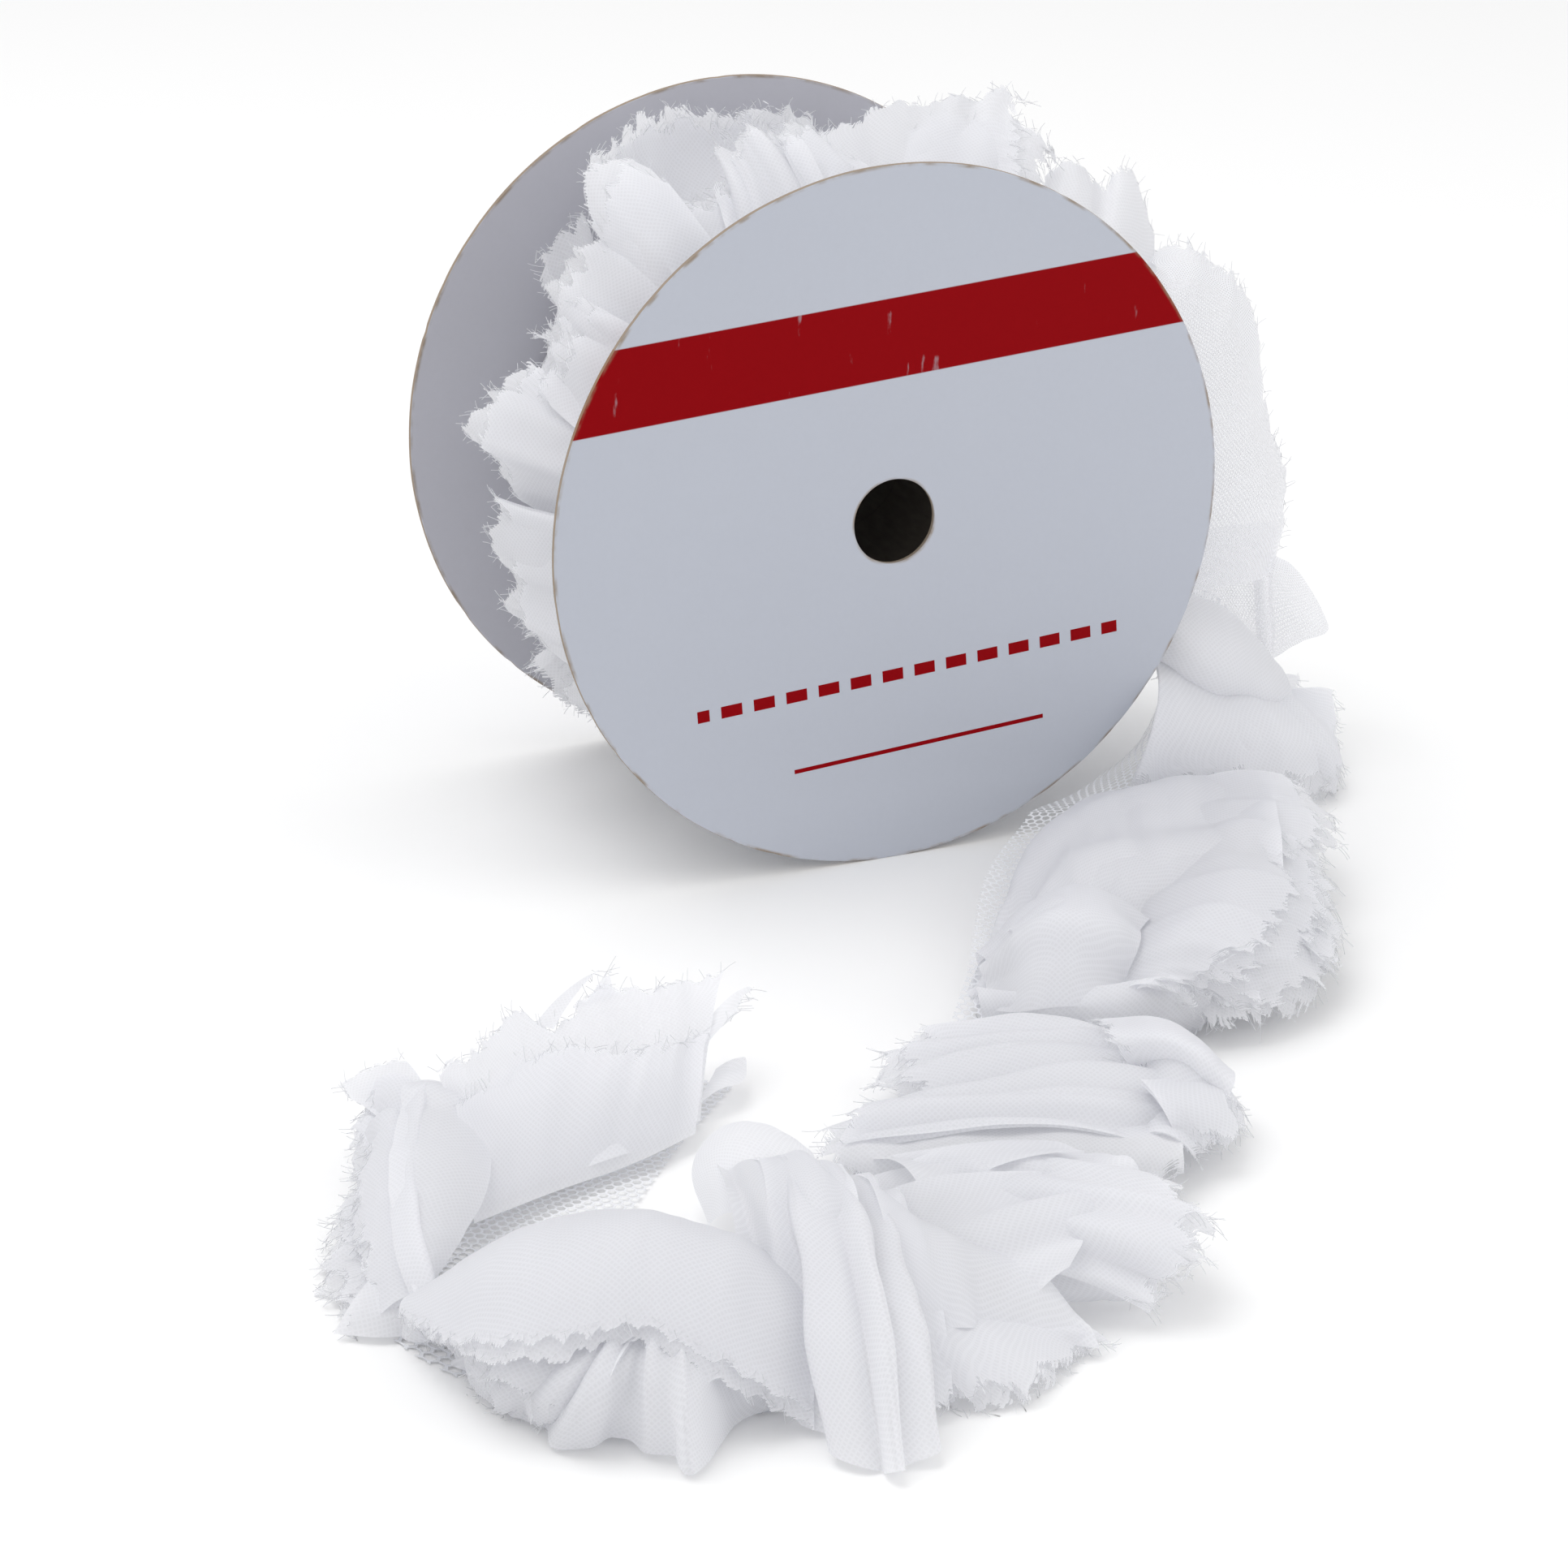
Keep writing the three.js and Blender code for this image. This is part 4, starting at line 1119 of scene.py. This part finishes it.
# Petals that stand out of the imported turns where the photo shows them, in the reel's directions
WOUND_FRONT = [
    dict(seam=((-34, -6, 103), (-20, 4, 108), (-4, 6, 110), (8, 0, 110)), belly=(1, 6, -1), layers=2,
         edge=((-41, 2, 120), (-36, 6, 124), (-28, 12, 126), (-19, 18, 127), (-8, 20, 125), (2, 20, 124),
               (8, 15, 122), (10, 6, 119)), inset=0.1, round=0),
    dict(seam=((-36, -32, 96), (-24, -32, 105)), belly=(-1, -3, 2), layers=2, inset=0.15,
         edge=((-43, 0, 111), (-44, 0, 120), (-39, 2, 124), (-32, 4, 124))),
    dict(seam=((-33, -33, 98), (-12, -33, 108)), belly=(-1, -3, 3), layers=2, inset=0.18,
         edge=((-38, -4, 117), (-30, -6, 116), (-21, -6, 118))),
    dict(seam=((-27, -33, 102), (-6, -33, 109)), belly=(0, -3, 3), ribs=3, depth=1.3, pleat=1.2,
         edge=((-22, -6, 120), (-19, -5, 125), (-13, -4, 128), (-7, -4, 127)), layers=2, inset=0.12),
    dict(seam=((-10, -33, 109), (8, -33, 109)), belly=(0, -3, 3), ribs=2, depth=0.8,
         edge=((-11, -2, 127), (-4, 2, 127), (3, 5, 124), (9, 5, 120)), layers=2, inset=0.14),
    dict(seam=((-16, -33, 107), (-31, -33, 99), (-41, -33, 87), (-46, -33, 72)), belly=(-2, -4, 2),
         edge=((-24, -3, 111), (-41, 0, 111), (-48, 0, 105), (-50, 0, 97), (-54, 0, 86)), layers=2,
         ribs=3, depth=1.0, round=0.04),
    dict(seam=((-34, -33, 95), (-45, -33, 75)), belly=(-2, -4, 1), layers=2, inset=0.2, ribs=2,
         edge=((-50, -8, 104), (-53, -8, 96), (-56, -8, 86)), depth=0.8),
    dict(seam=((-45, -33, 84), (-47, -33, 66)), belly=(-2, -4, 0), layers=2, ribs=2, depth=1.2,
         edge=((-52, 4, 87), (-60, 4, 84), (-64, 4, 76), (-60, 4, 69), (-54, 2, 63)), round=0.04),
    dict(seam=((-47, -33, 68), (-46, -33, 50), (-41, -33, 36)), belly=(-2, -4, 0), layers=2, ribs=3,
         edge=((-63, 0, 66), (-61, 0, 57), (-59, 0, 48), (-58, 0, 41), (-51, 0, 35)), depth=1.0,
         round=0.04),
    dict(seam=((-44, -33, 40), (-38, -33, 30)), belly=(-1, -2, 0),
         edge=((-53, -8, 32), (-50, -8, 27), (-44, -8, 22))),
    dict(seam=((0, -14, 110), (14, -20, 111), (30, -22, 103)), belly=(0, 1, 3), ribs=2, depth=1.3,
         edge=((5, 8, 121), (16, 9, 125), (27, 9, 126), (38, 9, 128), (47, 6, 126)), pleat=1.5,
         fray=("end", "right"), round=0),
    dict(seam=((8, -20, 112), (34, -22, 102)), belly=(0, 0, 2), ribs=1, depth=1.0,
         edge=((22, 4, 123), (40, 4, 124), (49, 2, 118)), fray=("end", "right")),
    dict(seam=((38, -22, 102), (48, -24, 94), (56, -24, 84)), belly=(0, -1, 2), pleat=1.6, ribs=2,
         edge=((46, 0, 110), (52, 1, 114), (58, 0, 111), (63, 1, 112), (68, 0, 107), (71, 0, 99),
               (71, 0, 90)), depth=0.6, round=0),
]


# Operators

# The stage, in metres: half the floor's width, each lamp's width and place, and what they aim at
FLOOR_HALF = 6.0
LAMP_WIDE = 0.9
KEY_PLACE = (-0.35, 0.25, 1.15)
SIDE_PLACE = (0.95, -0.75, 0.6)
FILL_PLACE = (-1.0, -0.9, 0.7)
AIM = (0, 0, 0.03)

# The camera's place in millimetres and the way it looks, worked out from the discs' outlines
CAMERA_PLACE = (-303.6, -693.9, 299.2)
CAMERA_WAY = (0.368, 0.854, -0.367)
SENSOR_WIDE = 36.0


class TRIM_OT_stage(bpy.types.Operator):
    """Pale floor, soft light and the camera"""

    bl_idname = "trim.stage"
    bl_label = "Stage"

    def execute(self, context):
        """Makes the floor, the lights and the camera."""
        stage = context.scene.trim_stage
        scene = context.scene
        scene.view_settings.view_transform = "Standard"
        world = bpy.data.worlds.new("Even light")
        world.use_nodes = True
        sky = world.node_tree.nodes["Background"]
        sky.inputs["Color"].default_value = (1.0, 1.0, 1.0, 1.0)
        sky.inputs["Strength"].default_value = stage.sky
        scene.world = world
        corners = [(x * FLOOR_HALF, y * FLOOR_HALF, 0) for x, y in ((-1, -1), (1, -1), (1, 1), (-1, 1))]
        floor = link("floor", mesh_of("floor", corners, [(0, 1, 2, 3)], floor_finish(stage), False))
        for name, power, place in (
                ("key light", stage.key, KEY_PLACE), ("side light", stage.side, SIDE_PLACE),
                ("fill light", stage.fill, FILL_PLACE)):
            lamp = bpy.data.lights.new(name, "AREA")
            lamp.energy = power
            lamp.size = LAMP_WIDE
            light = bpy.data.objects.new(name, lamp)
            light.location = place
            way = Vector(AIM) - Vector(place)
            light.rotation_euler = way.to_track_quat("-Z", "Y").to_euler()
            scene.collection.objects.link(light)
        lens = bpy.data.cameras.new("Camera")
        lens.lens = stage.lens
        lens.sensor_width = SENSOR_WIDE
        camera = bpy.data.objects.new("Camera", lens)
        camera.location = Vector(CAMERA_PLACE) * MM + Vector(ORIGIN)
        camera.rotation_euler = Vector(CAMERA_WAY).to_track_quat("-Z", "Y").to_euler()
        scene.collection.objects.link(camera)
        scene.camera = camera
        return {"FINISHED"}


# How many sides a disc has, how soft its edges are and how far its rim is worn, in metres
DISC_SIDES = 256
EDGE_SOFT = 0.00012
RIM_WAVE, RIM_CHIP = 0.00008, 0.0003


def disc_mesh(name, reel, near, seed, material):
    """A board disc with a hole, soft worn edges and a slightly uneven rim."""
    thick, soft = reel.board, EDGE_SOFT
    inner, outer = reel.hole / 2, reel.across / 2
    profile = [
        (inner + soft, 0.0), (outer - soft * 2, 0.0), (outer - soft * 0.6, soft * 0.4),
        (outer, soft * 1.6), (outer, thick - soft * 1.6), (outer - soft * 0.6, thick - soft * 0.4),
        (outer - soft * 2, thick), (inner + soft, thick), (inner, thick - soft), (inner, soft),
    ]
    points = []
    for index in range(DISC_SIDES):
        angle = 2 * math.pi * index / DISC_SIDES
        cos, sin = math.cos(angle), math.sin(angle)
        wear = noise.noise(Vector((cos * 5, sin * 5, seed)))
        chip = min(0.0, noise.noise(Vector((cos * 22, sin * 22, seed))) + 0.25)
        for radius, depth in profile:
            rim = (RIM_WAVE * wear + RIM_CHIP * chip) if radius > outer - soft * 3 else 0.0
            out = radius + rim
            points.append((AXIS.x + out * cos, near + depth, AXIS.z + out * sin))
    count = len(profile)
    faces = []
    for i in range(DISC_SIDES):
        for j in range(count):
            a, b = i * count + j, i * count + (j + 1) % count
            after = ((i + 1) % DISC_SIDES) * count
            faces.append((a, after + j, after + (j + 1) % count, b))
    return mesh_of(name, points, faces, material, smooth=False)


class TRIM_OT_discs(bpy.types.Operator):
    """The two board discs of the reel"""

    bl_idname = "trim.discs"
    bl_label = "Board discs"

    def execute(self, context):
        """Makes both discs."""
        reel = context.scene.trim_reel
        for name, node, near, seed, printed in (
                ("front_disc", "disc_front", FRONT_LOW.y, 1.7, True),
                ("back_disc", "disc_back", BACK_LOW.y, 6.1, False)):
            piece = link(name, disc_mesh(name, reel, near, seed, card_finish(reel, printed)))
            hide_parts(node)
            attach(piece, BODY)
        return {"FINISHED"}


class TRIM_OT_core(bpy.types.Operator):
    """The tube between the discs"""

    bl_idname = "trim.core"
    bl_label = "Core tube"

    def execute(self, _context):
        """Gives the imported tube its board."""
        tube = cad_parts["core_tube"]
        tube.data.materials.clear()
        tube.data.materials.append(core_finish())
        return {"FINISHED"}


class TRIM_OT_wound(bpy.types.Operator):
    """The wound part of the trim"""

    bl_idname = "trim.wound"
    bl_label = "Wound trim"

    def execute(self, context):
        """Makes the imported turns, the petals that stand out of them and their loose threads."""
        settings = context.scene.trim_cloth
        chiffon = chiffon_finish(settings, "Wound chiffon", settings.haze)
        threads = thread_finish(settings.tint)
        turns = Cloth()
        turns.add_grid(*wound_grid())
        body = turns.build("wound_turns", chiffon)
        petals = Cloth()
        cell = settings.cell / MM
        for index, row in enumerate(WOUND_PETALS):
            petals.add_fold(row, cell, 40.0 + index * 1.37)
        for index, row in enumerate(WOUND_FRONT):
            petals.add_petal(row, 0, cell, 20.0 + index * 2.3)
        for index, row in enumerate(frill_rows()):
            petals.add_fold(row, cell * FRILL_CELL, 90.0 + index * 1.91)
        petals_piece = petals.build("wound_petals", chiffon)
        fray = petals.frays("wound_threads", settings, threads, 5)
        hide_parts("wound_trim")
        for piece in (body, petals_piece, fray):
            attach(piece, BODY)
        return {"FINISHED"}


class TRIM_OT_tape(bpy.types.Operator):
    """The net tape of the loose end"""

    bl_idname = "trim.tape"
    bl_label = "Net tape"

    def execute(self, context):
        """Makes the tape."""
        settings = context.scene.trim_cloth
        count, columns = TAPE_CELLS
        middle, length, stops, where = smooth_line(
            [turned(at, TAIL_TURN) for at, _far in TAPE], count)
        ways = np.array([turned(far, TAIL_TURN) for _at, far in TAPE])
        far = np.stack([np.interp(where, stops, ways[:, k]) for k in range(3)], -1)
        shares = np.linspace(-1, 1, columns)
        across = shares * TAPE_WIDE / 2
        grid = middle[:, None, :] + unit(far)[:, None, :] * across[None, :, None]
        along = np.linspace(0, length, count)
        ripple = uneven(np.stack(np.meshgrid(along / 14, shares * 1.6, indexing="ij"), -1), 4.4)
        grid[..., 2] = np.maximum(grid[..., 2] + TAPE_RIPPLE * ripple, TAPE_LOWEST)
        weave = np.stack(np.meshgrid(along, across, indexing="ij")[::-1], -1)
        tape = Cloth()
        tape.add_grid(grid, weave, np.full(weave.shape, UNCUT))
        piece = tape.build("tape", net_finish(settings))
        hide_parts("net_tape")
        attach(piece, BODY)
        return {"FINISHED"}


class TRIM_OT_roses(bpy.types.Operator):
    """The nine roses of the loose end"""

    bl_idname = "trim.roses"
    bl_label = "Roses"

    def execute(self, context):
        """Makes each rose and its loose threads."""
        settings = context.scene.trim_cloth
        chiffon = chiffon_finish(settings, "Chiffon", settings.haze)
        sheer = chiffon_finish(settings, "Sheer chiffon", settings.sheer)
        threads = thread_finish(settings.tint)
        for number, (name, (turn, rows)) in enumerate(ROSES.items(), 1):
            rose = Cloth()
            for index, row in enumerate(rows):
                seed = number * 7.3 + index * 1.7
                rose.add_petal(row, turn, settings.cell / MM, seed, settings.spare / MM)
            piece = rose.build(name + "_cloth", sheer if name == "rose_1" else chiffon)
            fray = rose.frays(name + "_threads", settings, threads, number)
            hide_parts(name)
            for made in (piece, fray):
                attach(made, BODY)
        return {"FINISHED"}


class TRIM_PT_panel(bpy.types.Panel):
    """Lists the pieces and their settings."""

    bl_idname = "TRIM_PT_panel"
    bl_label = "Ribbon rose trim"
    bl_space_type = "VIEW_3D"
    bl_region_type = "UI"
    bl_category = "Trim"

    def draw(self, context):
        """Draws a button for each piece, then the settings."""
        for operator in OPERATORS:
            self.layout.operator(operator.bl_idname)
        for group in (context.scene.trim_reel, context.scene.trim_cloth, context.scene.trim_stage):
            box = self.layout.box()
            for key in group.__annotations__:
                box.prop(group, key)


SETTINGS = {"trim_reel": ReelSettings, "trim_cloth": ClothSettings, "trim_stage": StageSettings}
OPERATORS = (
    TRIM_OT_stage, TRIM_OT_discs, TRIM_OT_core, TRIM_OT_wound, TRIM_OT_tape, TRIM_OT_roses,
)


def register():
    """Registers the settings, the operators and the panel."""
    for name, group in SETTINGS.items():
        bpy.utils.register_class(group)
        setattr(bpy.types.Scene, name, PointerProperty(type=group))
    for made in (*OPERATORS, TRIM_PT_panel):
        bpy.utils.register_class(made)


def unregister():
    """Takes them away again."""
    for made in reversed((*OPERATORS, TRIM_PT_panel)):
        bpy.utils.unregister_class(made)
    for name, group in reversed(SETTINGS.items()):
        delattr(bpy.types.Scene, name)
        bpy.utils.unregister_class(group)


def main():
    """Builds every piece."""
    register()
    bpy.ops.trim.stage()
    bpy.ops.trim.discs()
    bpy.ops.trim.core()
    bpy.ops.trim.wound()
    bpy.ops.trim.tape()
    bpy.ops.trim.roses()


if __name__ == "__main__":
    main()
